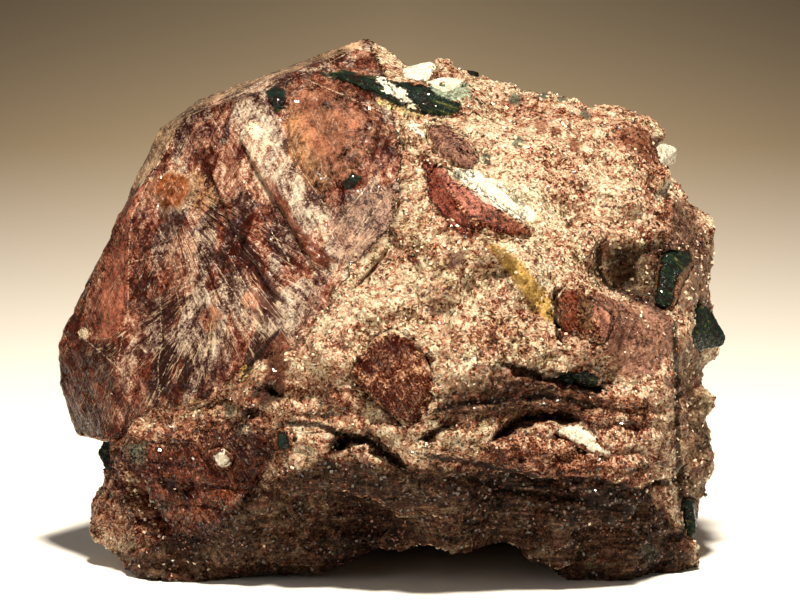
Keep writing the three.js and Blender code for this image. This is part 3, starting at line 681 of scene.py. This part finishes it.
def specimen_finish(name, shine):
    """Granular rock, the large crystal, and the red, green and white minerals, where the skin says that each is."""
    look = bpy.context.scene.specimen_look
    crystal = bpy.context.scene.crystal_look
    seam_colour = tuple(crystal.seam)
    s = Finish(name)
    g = ground(s)
    rock_tone, rock = rock_look(s, g)
    glass_tone, glass, threads, lay = glass_look(s, g)
    minerals = s.attribute("minerals", "Color")
    ragged = 0.9 * (g.patchy - 0.5) + 0.4 * (g.coarse_luck - 0.5)
    glass_share = s.step(s.attribute("minerals", "Alpha") + ragged, 0.38, 0.62)
    colour = s.mix(glass_share, rock, glass)

    red_share = s.step(s.red(minerals) + ragged * 0.9, 0.4, 0.6)
    streak = s.noise(s.stretched(g.flow, math.radians(56), (6, 1.5, 0.4)), 1, 3, 0.6) - 0.5
    red_tone = (
        1.3 * (g.patchy - 0.5) + 1.1 * streak + 0.4 * (g.coarse_luck - 0.5) + 0.7 * (g.fine_luck - 0.5)
        + 0.8 * g.paleness + 0.44
    )
    red_stops = [
        (0.23, (0.024, 0.003, 0.001)), (0.35, (0.048, 0.009, 0.003)), (0.46, tuple(crystal.lens)),
        (0.57, (0.140, 0.044, 0.021)), (0.69, (0.24, 0.105, 0.058)), (0.9, (0.48, 0.28, 0.16)),
    ]
    colour = s.mix(red_share, colour, s.ramp(red_tone, red_stops))

    depth = s.mix(glass_share, 0.25 + 1.1 * rock_tone, 0.15 + 1.8 * glass_tone)
    depth = s.mix(red_share, depth, 0.1 + 1.9 * red_tone)
    white_share = s.step(s.blue(minerals) + ragged * 0.8, 0.35, 0.6)
    white_stops = [(0.25, PEACH), (0.4, CREAM), (0.52, tuple(crystal.cleavage)), (0.8, WHITE)]
    colour = s.mix(white_share, colour, s.ramp(0.9 * g.patchy + 0.3 * g.fine_luck, white_stops))
    depth = s.mix(white_share, depth, (1, 1, 1))
    # Stains over the colour; among them the painted shade of the undercut, recess, ledges and hollows, and painted
    # highlights
    shaded = s.mix(1.0, s.attribute("stain", "Color"), depth, "MULTIPLY")
    cover = s.attribute("stain", "Alpha") + 0.8 * (g.patchy - 0.5) + 0.4 * (g.fine_luck - 0.5)
    colour = s.mix(s.step(cover, 0.25, 0.75) * (0.9 - 0.35 * white_share), colour, shaded)
    colour = s.mix(threads * (glass_share * 0.6 + red_share * 0.25), colour, seam_colour)

    seam = s.attribute("seam") + 0.18 * (s.noise(g.place, 0.8, 3, 0.7) - 0.5)
    seam_share = s.step(seam.math("ABSOLUTE") / (0.01 + 0.20 * g.patchy), 1.0, 0.0) * s.attribute("seam_near")
    seam_share = seam_share * s.step(g.patchy + 0.5 * (g.fine_luck - 0.5), 0.40, 0.60)
    colour = s.mix(seam_share * 0.55, colour, seam_colour)
    # Painted shade: soot-dark lines along the open cracks and gaps
    crack = s.attribute("crack") + 0.9 * (s.noise(g.place, 1.1, 3, 0.7) - 0.5)
    crack_shade_share = s.step(crack.math("ABSOLUTE") / (0.12 + 0.6 * g.patchy), 1.0, 0.4) * s.attribute("crack_near")
    colour = s.mix(crack_shade_share * 0.9, colour, SOOT)

    green_share = s.step(s.green(minerals) + ragged * 0.6, 0.35, 0.6) * (1 - 0.9 * white_share)
    groove = s.noise(s.stretched(g.place, math.radians(18), (5.0, 0.9, 0.5)), 1, 3, 0.6)
    green_stops = [
        (0.45, SOOT), (0.56, tuple(crystal.prism)), (0.63, (0.014, 0.022, 0.008)), (0.69, (0.080, 0.080, 0.020)),
        (0.80, (0.34, 0.34, 0.20)),
    ]
    colour = s.mix(green_share, colour, s.ramp(0.7 * groove + 0.4 * g.patchy, green_stops))

    smoothness = glass_share.math("MAXIMUM", red_share).math("MAXIMUM", green_share)
    matt = 1 - smoothness
    of_rock = 0.16 + 0.5 * s.green(g.fine["Color"])
    of_glass = 0.03 + 0.16 * g.patchy + 0.3 * s.step(g.redness, -0.1, -0.45)
    roughness = s.mix(smoothness, of_rock, of_glass) + 0.15 * seam_share
    coarse_lean = s.tilted(g.warped, g.coarse, look.grain / MM)
    fine_lean = s.tilted(g.warped, g.fine, look.fine_grain / MM)
    lean = coarse_lean * (0.35 + 0.65 * matt) + fine_lean * 1.15 * matt
    ripple = (lay + streak * red_share) * (0.5 * MM) * smoothness + groove * green_share * (0.4 * MM)
    height = lean + ripple + g.patchy * (0.08 + 0.27 * matt) * MM
    height = height + (0.05 * MM) * seam_share - crack_shade_share * (0.15 * MM)
    sparkle = s.step(g.fine_luck, 0.86, 0.88) * s.step(g.redness, -0.35, -0.1)
    inputs = {"Base Color": colour, "Roughness": roughness, "Coat Weight": smoothness * sparkle * 0.5}
    return s.surface({**inputs, "Coat Roughness": 0.08, "Specular IOR Level": shine}, height)


def grain_finish(name, colours):
    """Loose grains: each is mostly of one colour."""
    s = Finish(name)
    place = s.place()
    cells = s.cells(place, 0.6)
    speck = s.noise(place, 0.3, 2)
    stops = [(i / (len(colours) - 1), colour) for i, colour in enumerate(colours)]
    body = s.ramp(0.85 * s.red(cells["Color"]) + 0.5 * (speck - 0.5) + 0.07, stops)
    return s.surface({"Base Color": body, "Roughness": 0.14 + 0.3 * speck, "Coat Weight": 0.2}, speck * (0.05 * MM))


def floor_finish():
    """A painted pool of light: pale near the specimen, painted shade far from it, but for a painted glow in the
    middle of the view.
    """
    look = bpy.context.scene.stage_look
    s = Finish("pale_floor")
    place = s.add("ShaderNodeTexCoord", output="Object")
    far = s.vector("LENGTH", place, (0, 0, 0), "Value")
    near, distant_shade, glow = tuple(look.near_floor), tuple(look.far_floor_shade), tuple(look.glow)
    between = [tuple(0.5 * a + 0.5 * b for a, b in zip(near, end)) for end in (distant_shade, glow)]
    edge = s.ramp(far, [(0.12, near), (0.28, between[0]), (0.45, distant_shade), (0.85, tuple(0.85 * c for c in distant_shade))])
    middle = s.ramp(far, [(0.12, near), (0.28, between[1]), (0.45, glow), (0.85, glow)])
    parts = s.add("ShaderNodeSeparateXYZ", {}, {0: place}, "X")
    aside = parts.math("ABSOLUTE") / (parts["Y"].math("ABSOLUTE") + VIEW_DISTANCE)
    body = s.mix((1 - aside / HALF_VIEW).math("MAXIMUM", 0), edge, middle)
    shader = s.add("ShaderNodeBsdfPrincipled", {}, {"Base Color": body, "Roughness": 0.9}, "BSDF")
    s.add_output(shader)
    return s.material


def pixels_of(points):
    """Where points of the object show in the front view."""
    back = np.array(VIEW_BACK)
    up = np.array((0, math.sin(VIEW_TILT), math.cos(VIEW_TILT)))
    rel = points - (np.array(VIEW_TARGET) + back * VIEW_DISTANCE)
    depth = -(rel @ back)
    scale = VIEW_DISTANCE / (WIDTH_ACROSS * MM / WIDTH_SEEN) / depth
    return np.stack((MIDDLE_SEEN[0] + rel[:, 0] * scale, MIDDLE_SEEN[1] - (rel @ up) * scale), axis=1)


def on_front(pixel):
    """A pixel of the front view as a place on the specimen's middle plane, in millimetres."""
    scale = WIDTH_ACROSS / WIDTH_SEEN
    across = VIEW_TARGET.x / MM + (pixel[0] - MIDDLE_SEEN[0]) * scale
    return across, 0, VIEW_TARGET.z / MM + (MIDDLE_SEEN[1] - pixel[1]) * scale / math.cos(VIEW_TILT)


def facing(points, normals):
    """How much each point of a skin faces the front view, from 0 at its outline to 1."""
    to_eye = np.array(EYE) - points
    to_eye /= np.linalg.norm(to_eye, axis=1)[:, None]
    return smooth((normals * to_eye).sum(axis=1), -0.1, 0.15)


def smooth(values, low, high):
    """0 below low, 1 above high, and smooth between."""
    share = np.clip((values - low) / (high - low), 0, 1)
    return share * share * (3 - 2 * share)


def to_segments(places, path):
    """Signed distance from each place to the nearest part of a path, by the side that it lies on."""
    nearest = np.full(len(places), np.inf)
    side = np.ones(len(places))
    corners = np.array(path, dtype=float)
    for start, end in zip(corners[:-1], corners[1:]):
        run = end - start
        offset = places - start
        share = np.clip((offset @ run) / (run @ run), 0, 1)
        distance = np.linalg.norm(offset - share[:, None] * run, axis=1)
        turn = run[0] * offset[:, 1] - run[1] * offset[:, 0]
        nearer = distance < nearest
        nearest[nearer] = distance[nearer]
        side[nearer] = np.sign(turn[nearer])
    return nearest * side


def inside(places, outline):
    """Distance to an outline, positive inside it."""
    corners = np.array(outline, dtype=float)
    distance = np.abs(to_segments(places, [*outline, outline[0]]))
    within = np.zeros(len(places), dtype=bool)
    for (x1, y1), (x2, y2) in zip(corners, np.roll(corners, -1, axis=0)):
        crosses = (y1 > places[:, 1]) != (y2 > places[:, 1])
        slope = (x2 - x1) / (y2 - y1) if y2 != y1 else 0
        within ^= crosses & (places[:, 0] < x1 + slope * (places[:, 1] - y1))
    return np.where(within, distance, -distance)


def random_of(cells, kind):
    """A number from 0 to 1 for each cell, which looks random and is the same each time."""
    wave = np.sin(cells @ np.array((127.1, 311.7, 74.7)) + 53.3 * kind) * 43758.5453
    return wave - np.floor(wave)


def facets(points, size, kind):
    """Height, in cell sizes, of a surface broken into cells that each lean their own way."""
    scaled = points / size
    corner = np.floor(scaled)
    nearest = np.full(len(points), np.inf)
    height = np.zeros(len(points))
    for step in np.ndindex(3, 3, 3):
        cell = corner + np.array(step) - 1
        centre = np.stack([random_of(cell, kind + k) for k in range(3)], axis=1)
        lean = np.stack([random_of(cell, kind + 3 + k) for k in range(3)], axis=1) - 0.5
        offset = scaled - cell - centre
        distance = (offset**2).sum(axis=1)
        nearer = distance < nearest
        nearest[nearer] = distance[nearer]
        height[nearer] = (offset * lean).sum(axis=1)[nearer]
    return height


def broken(points, layers):
    """Height in millimetres of a surface broken into cells of several sizes."""
    return sum(layer.size * facets(points, layer.size * MM, layer.kind) * layer.lean for layer in layers)


def waves(points, size, seed):
    """Smooth noise from about -1 to 1."""
    shift = Vector((seed, -seed, 2 * seed))
    return np.array([noise.noise(Vector(point) / size + shift) for point in points])


def skin_of(node, name, step, grow=0.0):
    """A finely divided copy of a node, grown outwards, and at the front by a quarter of that."""
    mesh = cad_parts[node].data.copy()
    copy = bmesh.new()
    copy.from_mesh(mesh)
    bmesh.ops.remove_doubles(copy, verts=copy.verts, dist=0.001 * MM)
    bmesh.ops.recalc_face_normals(copy, faces=copy.faces)
    copy.to_mesh(mesh)
    copy.free()
    coarse = bpy.data.objects.new(name, mesh)
    bpy.context.scene.collection.objects.link(coarse)
    remesh = coarse.modifiers.new("fine skin", "REMESH")
    remesh.mode = "VOXEL"
    remesh.voxel_size = step
    graph = bpy.context.evaluated_depsgraph_get()
    fine = bpy.data.meshes.new_from_object(coarse.evaluated_get(graph))
    coarse.modifiers.clear()
    coarse.data = fine
    fine.materials.clear()
    fine.shade_smooth()
    points, normals = points_of(coarse)
    sideways = 1 - 0.75 * smooth(-normals[:, 1], 0.3, 0.9)
    set_points(coarse, points + normals * (grow * sideways)[:, None])
    return coarse


def points_of(piece):
    """The places of a piece's points, and the ways that they face."""
    count = len(piece.data.vertices)
    points = np.empty(count * 3)
    normals = np.empty(count * 3)
    piece.data.vertices.foreach_get("co", points)
    piece.data.vertices.foreach_get("normal", normals)
    return points.reshape(-1, 3), normals.reshape(-1, 3)


def set_points(piece, points):
    """Moves a piece's points, but none below the surface that the specimen stands on."""
    points[:, 2] = np.maximum(points[:, 2], 0)
    piece.data.vertices.foreach_set("co", points.ravel())
    piece.data.update()


def carry(piece, name, values):
    """Writes a number for each point of a piece."""
    piece.data.attributes.new(name, "FLOAT", "POINT").data.foreach_set("value", values)


def carry_colour(piece, name, values):
    """Writes four numbers for each point of a piece."""
    piece.data.attributes.new(name, "FLOAT_COLOR", "POINT").data.foreach_set("color", values.ravel())


def outlined(seen, outlines, ragged, soft=7.0):
    """How far each place lies inside any of the outlines, from 0 to 1."""
    return np.max([smooth(inside(seen, outline) + ragged, -soft, soft) for outline in outlines.values()], axis=0)


def mineral_shares(seen, front, ragged, mineral, standing):
    """How far each point belongs to the red, green and white crystals and to the large one, from 0 to 1."""
    shares = np.zeros((len(seen), 4))
    of_piece = {"red": 0, "green": 1, "white": 2, "crystal": 3}.get(mineral)
    if standing:
        shares[:, of_piece] = 1
        return shares
    shares[:, 0] = front * outlined(seen, RED_SEEN, 1.1 * ragged, 9)
    shares[:, 1] = front * outlined(seen, GREEN_SEEN, 0.5 * ragged)
    shares[:, 2] = front * outlined(seen, WHITE_SEEN, 0.7 * ragged)
    shares[:, 3] = front * smooth(inside(seen, CRYSTAL_SEEN) + ragged, -9, 9)
    if mineral:
        shares[:, of_piece] += 1 - front
    return shares


def covered(seen, area, ragged):
    """How far each place lies inside the outline of a stain or a tone, from 0 to 1."""
    depth = inside(seen, area.outline) + (0.3 + 0.05 * area.soft) * ragged
    return smooth(depth, -0.5 * area.soft, 0.5 * area.soft)


def marks_on(seen, front, ragged):
    """Each stain and spot in turn, painted shade and highlights among them: its colour, and how much of each point
    it covers.
    """
    for stain in STAINS_AND_PAINTED_LIGHT.values():
        yield stain.colour, stain.cover * front * covered(seen, stain, ragged)
    for spot in SPOTS:
        depth = spot.radius - np.linalg.norm(seen - np.array(spot.middle), axis=1) + 0.3 * ragged
        yield spot.colour, spot.cover * front * smooth(depth, -2, 2)


def mark(piece, mineral=None, standing=False):
    """Writes on a skin which mineral shows at each point, and the stains, tones, seams and cracks of the front, with
    the painted shade and highlights among them.
    """
    points, normals = points_of(piece)
    seen = pixels_of(points)
    front = facing(points, normals)
    elsewhere = 1 - front
    ragged = 5 * waves(points, 2.2 * MM, 3.1) + 3 * waves(points, 0.9 * MM, 7.7)
    carry_colour(piece, "minerals", mineral_shares(seen, front, ragged, mineral, standing))
    stained_and_painted = np.zeros((len(points), 4))
    for tint, share in marks_on(seen, front, ragged):
        kept = stained_and_painted[:, 3] * (1 - share)
        total = np.maximum(share + kept, 1e-6)
        stained_and_painted[:, :3] = (np.array(tint) * share[:, None] + stained_and_painted[:, :3] * kept[:, None]) / total[:, None]
        stained_and_painted[:, 3] = share + kept
    carry_colour(piece, "stain", stained_and_painted)
    paleness = elsewhere * 0.16 * waves(points, 9 * MM, 1.9)
    redness = elsewhere * (0.1 + 0.3 * waves(points, 7 * MM, 6.3))
    for tone in TONES.values():
        share = front * covered(seen, tone, ragged)
        paleness += tone.change * share
        redness += tone.redness * share
    carry(piece, "paleness", paleness)
    carry(piece, "redness", redness)
    carry_lines(piece, "seam", SEAMS, 0.4, points, seen, front)
    carry_lines(piece, "crack", SHADED_CRACKS, 1.5, points, seen, front)


def carry_lines(piece, name, paths, wobble, points, seen, front):
    """Writes the signed distance in millimetres to the nearest of the paths, and how near it is, from 0 to 1."""
    nearest = np.full(len(points), 1e3)
    waver = wobble * waves(points, 1.6 * MM, 5.3)
    for path in paths:
        distance = to_segments(seen, path) + waver
        nearer = np.abs(distance) < np.abs(nearest)
        nearest[nearer] = distance[nearer]
    millimetres = nearest * WIDTH_ACROSS / WIDTH_SEEN
    carry(piece, name, millimetres)
    carry(piece, name + "_near", front * smooth(np.abs(millimetres), 1.4, 0.9))


def beside(points, normals, path, reach):
    """How near each point is to a path in the front view, from 0 to 1."""
    away = to_segments(pixels_of(points), path) / reach
    return facing(points, normals) * np.exp(-away * away)


def ledges(points, normals):
    """Outward steps in millimetres, level across the lower front, with grooves at the cracks."""
    period = 2.3 * MM
    level = points[:, 2] + 0.9 * MM * waves(points * np.array((0.6, 0.6, 1.0)), 3.0 * MM, 9.1)
    share = level / period - np.floor(level / period)
    seen = pixels_of(points)
    front = facing(points, normals)
    lower = smooth(seen[:, 1], 350, 400) * front
    height = 0.6 + 0.6 * waves(points, 5 * MM, 2.7)
    lift = lower * height * (0.5 - share) * 1.3
    for path in SHADED_CRACKS:
        lift -= 0.5 * beside(points, normals, path, 5)
    return lift + 0.7 * beside(points, normals, CRYSTAL_EDGE, EDGE_REACH)


def ride(piece, slot, *nodes):
    """Puts a piece on the body and hides the nodes that it stands for. Its slot is not used."""
    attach(piece, "root")
    if nodes:
        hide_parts(*nodes)


class SPECIMEN_OT_rock(bpy.types.Operator):
    """Gives the rock its broken, granular skin"""

    bl_idname = "specimen.rock"
    bl_label = "Rock"

    def execute(self, context):
        look = context.scene.specimen_look
        rock = skin_of("matrix_rock", "granular_rock", look.rock_step)
        points, normals = points_of(rock)
        lift = broken(points, ROCK_CELLS) + ROCK_GROWTH + ledges(points, normals)
        set_points(rock, points + normals * (lift * MM)[:, None])
        mark(rock)
        rock.data.materials.append(specimen_finish("granular_rock", 0.12))
        ride(rock, "matrix", "matrix_rock")
        return {"FINISHED"}


def scatter_tree(name, rounded):
    """Geometry Nodes that scatter grains over a skin, as thickly as one of its attributes says."""
    group = bpy.data.node_groups.new(name, "GeometryNodeTree")
    sockets = {
        "Skin": "Geometry", "Share": "String", "Grains per area": "Float", "Smallest": "Vector",
        "Largest": "Vector", "Seed": "Int", "Finish": "Material",
    }
    for socket, kind in sockets.items():
        group.interface.new_socket(socket, in_out="INPUT", socket_type="NodeSocket" + kind)
    group.interface.new_socket("Grains", in_out="OUTPUT", socket_type="NodeSocketGeometry")
    t = NodeTree(group)
    given = t.add("NodeGroupInput")
    share = t.add("GeometryNodeInputNamedAttribute", {"data_type": "FLOAT"}, {"Name": given["Share"]})
    spread = {"Mesh": given["Skin"], "Density": share * given["Grains per area"], "Seed": given["Seed"]}
    points = t.add("GeometryNodeDistributePointsOnFaces", {"distribute_method": "RANDOM"}, spread)
    if rounded:
        grain = t.add("GeometryNodeMeshIcoSphere", {}, {"Radius": 0.5, "Subdivisions": 1})
    else:
        grain = t.add("GeometryNodeMeshCube", {}, {"Size": (1, 1, 1)})
    random = {"data_type": "FLOAT_VECTOR"}
    least, most = (-0.6, -0.6, 0), (0.6, 0.6, 2 * math.pi)
    lean = t.add("FunctionNodeRandomValue", random, {0: least, 1: most, "Seed": given["Seed"]})
    flush = {"Rotation": points["Rotation"], "Rotate By": lean}
    turn = t.add("FunctionNodeRotateRotation", {"rotation_space": "LOCAL"}, flush)
    sizes = {0: given["Smallest"], 1: given["Largest"], "Seed": given["Seed"]}
    size = t.add("FunctionNodeRandomValue", random, sizes)
    placed = t.add(
        "GeometryNodeInstanceOnPoints", {}, {"Points": points, "Instance": grain, "Rotation": turn, "Scale": size}
    )
    plain = t.add("GeometryNodeRealizeInstances", {}, {"Geometry": placed})
    finished = t.add("GeometryNodeSetMaterial", {}, {"Geometry": plain, "Material": given["Finish"]})
    t.feed(group.nodes.new("NodeGroupOutput"), {"Grains": finished})
    return group


def scatter(skin, name, tree, **values):
    """Grains on a skin as one plain mesh. The values go to the sockets of the same names."""
    piece = bpy.data.objects.new(name, skin.data)
    bpy.context.scene.collection.objects.link(piece)
    modifier = piece.modifiers.new("scatter", "NODES")
    modifier.node_group = tree
    for item in tree.interface.items_tree:
        key = item.name.lower().replace(" ", "_")
        if item.in_out == "INPUT" and key in values:
            modifier[item.identifier] = values[key]
    graph = bpy.context.evaluated_depsgraph_get()
    plain = bpy.data.meshes.new_from_object(piece.evaluated_get(graph))
    piece.modifiers.clear()
    piece.data = plain
    points, _ = points_of(piece)
    set_points(piece, points)
    return piece


class SPECIMEN_OT_loose_grains(bpy.types.Operator):
    """Scatters pale, red and dark grains over the rock"""

    bl_idname = "specimen.loose_grains"
    bl_label = "Loose grains"

    def execute(self, context):
        rock = bpy.data.objects["granular_rock"]
        points, _ = points_of(rock)
        paleness = np.zeros(len(points))
        rock.data.attributes["paleness"].data.foreach_get("value", paleness)
        shares = np.zeros(len(points) * 4)
        rock.data.attributes["minerals"].data.foreach_get("color", shares)
        free = smooth(shares.reshape(-1, 4)[:, 1:].max(axis=1), 0.5, 0.2)
        clump = waves(points, 3 * MM, 4.4)
        red_share = smooth(-clump, -0.2, 0.5) * smooth(paleness, -0.45, -0.1)
        # Pale grains gather where the skin is paler and dark grains where it is darker, so the dark grains also fill
        # the painted shade
        kinds = {
            "pale": (smooth(paleness + 0.2 * clump, -0.12, 0.2), False, (PEACH, CREAM, WHITE, CREAM, ROSE)),
            "red": (red_share, True, (WINE, BRICK, ROSE, WINE, RUST)),
            "dark": (smooth(-paleness - 0.3 * clump, -0.1, 0.3), False, (SOOT, UMBER, WINE, UMBER, GREEN_GREY)),
        }
        for seed, (kind, (share, rounded, colours)) in enumerate(kinds.items()):
            name = kind + "_grains"
            carry(rock, name, share * free)
            piece = scatter(
                rock, name, scatter_tree(name, rounded), share=name, grains_per_area=GRAINS_PER_AREA,
                smallest=SMALLEST_GRAIN, largest=LARGEST_GRAIN, seed=seed,
                finish=grain_finish(kind + "_grain", colours),
            )
            ride(piece, "matrix")
        return {"FINISHED"}


class SPECIMEN_OT_large_crystal(bpy.types.Operator):
    """Gives the large crystal its glassy faces"""

    bl_idname = "specimen.large_crystal"
    bl_label = "Large crystal"

    def execute(self, context):
        look = context.scene.specimen_look
        crystal = skin_of("eudialyte_crystal", "large_crystal", look.crystal_step, CRYSTAL_GROWTH * MM)
        points, normals = points_of(crystal)
        lift = broken(points, CRYSTAL_CELLS) + 0.2 * beside(points, normals, CRYSTAL_EDGE, EDGE_REACH)
        set_points(crystal, points + normals * (lift * MM)[:, None])
        mark(crystal, "crystal")
        crystal.data.materials.append(specimen_finish("wine_red_crystal", 0.12))
        ride(crystal, "eudialyte", "eudialyte_crystal")
        return {"FINISHED"}


class SPECIMEN_OT_small_crystals(bpy.types.Operator):
    """Gives every small crystal its chipped faces"""

    bl_idname = "specimen.small_crystals"
    bl_label = "Small crystals"

    def execute(self, context):
        minerals = {"eudialyte": "red", "aegirine": "green", "feldspar": "white"}
        finish = specimen_finish("seated_crystals", 0.07)
        for node in sorted(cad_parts):
            slot = node.split("_")[0]
            if slot not in minerals or node == "eudialyte_crystal":
                continue
            piece = skin_of(node, f"{node}_face", SEATED_STEP, SEATED_GROWTH[slot] * MM)
            points, normals = points_of(piece)
            lift = broken(points, SEATED_CELLS) * (SOFT_LEAN if slot == "feldspar" else 1.0)
            set_points(piece, points + normals * (lift * MM)[:, None])
            mark(piece, minerals[slot], node in STANDING)
            piece.data.materials.append(finish)
            ride(piece, slot, node)
        return {"FINISHED"}


class SPECIMEN_OT_stage(bpy.types.Operator):
    """Sets the floor, the lights and the camera"""

    bl_idname = "specimen.stage"
    bl_label = "Stage"

    def execute(self, context):
        scene = context.scene
        look = scene.stage_look
        floor_mesh = bpy.data.meshes.new("floor")
        reach = 4.0
        corners = [(-reach, -reach, 0), (reach, -reach, 0), (reach, reach, 0), (-reach, reach, 0)]
        floor_mesh.from_pydata(corners, [], [(0, 1, 2, 3)])
        floor_mesh.materials.append(floor_finish())
        floor = bpy.data.objects.new("floor", floor_mesh)
        scene.collection.objects.link(floor)
        lamp(scene, "key", (0.02, -0.17, 0.42), look.key_power, 0.05, (1.0, 0.90, 0.76))
        lamp(scene, "fill", (-0.45, -0.35, 0.25), look.fill_power, 0.4, (1.0, 0.97, 0.92))
        world = bpy.data.worlds.new("soft_room")
        world.use_nodes = True
        background = world.node_tree.nodes["Background"]
        background.inputs["Color"].default_value = (1.0, 0.93, 0.84, 1)
        background.inputs["Strength"].default_value = 0.12
        scene.world = world
        scene.view_settings.view_transform = "Standard"
        camera = bpy.data.objects.new("camera", bpy.data.cameras.new("camera"))
        camera.location = EYE
        camera.rotation_euler = (-Vector(VIEW_BACK)).to_track_quat("-Z", "Y").to_euler()
        camera.data.sensor_width = SENSOR
        camera.data.lens = SENSOR * VIEW_DISTANCE / (FRAME_SEEN * WIDTH_ACROSS * MM / WIDTH_SEEN)
        camera.data.clip_start = 0.01
        scene.collection.objects.link(camera)
        scene.camera = camera
        return {"FINISHED"}


def lamp(scene, name, place, power, size, colour):
    """A square lamp that points at the specimen."""
    light = bpy.data.lights.new(name, "AREA")
    light.energy = power
    light.size = size
    light.color = colour
    holder = bpy.data.objects.new(name, light)
    holder.location = place
    holder.rotation_euler = (VIEW_TARGET - Vector(place)).to_track_quat("-Z", "Y").to_euler()
    scene.collection.objects.link(holder)


class SPECIMEN_PT_panel(bpy.types.Panel):
    """Lists the looks and the operators"""

    bl_label = "Eudialyte specimen"
    bl_idname = "SPECIMEN_PT_panel"
    bl_space_type = "VIEW_3D"
    bl_region_type = "UI"
    bl_category = "Specimen"

    def draw(self, context):
        scene = context.scene
        for group in (scene.specimen_look, scene.crystal_look, scene.stage_look):
            for name in group.bl_rna.properties.keys():
                if name not in ("rna_type", "name"):
                    self.layout.prop(group, name)
        for operator in OPERATORS:
            self.layout.operator(operator.bl_idname)


OPERATORS = (
    SPECIMEN_OT_rock, SPECIMEN_OT_loose_grains, SPECIMEN_OT_large_crystal, SPECIMEN_OT_small_crystals,
    SPECIMEN_OT_stage,
)
CLASSES = (SpecimenLook, CrystalLook, StageLook, *OPERATORS, SPECIMEN_PT_panel)


def register():
    for cls in CLASSES:
        bpy.utils.register_class(cls)
    bpy.types.Scene.specimen_look = bpy.props.PointerProperty(type=SpecimenLook)
    bpy.types.Scene.crystal_look = bpy.props.PointerProperty(type=CrystalLook)
    bpy.types.Scene.stage_look = bpy.props.PointerProperty(type=StageLook)


def unregister():
    del bpy.types.Scene.specimen_look, bpy.types.Scene.crystal_look, bpy.types.Scene.stage_look
    for cls in reversed(CLASSES):
        bpy.utils.unregister_class(cls)


def main():
    register()
    bpy.ops.specimen.rock()
    bpy.ops.specimen.loose_grains()
    bpy.ops.specimen.large_crystal()
    bpy.ops.specimen.small_crystals()
    bpy.ops.specimen.stage()


if __name__ == "__main__":
    main()
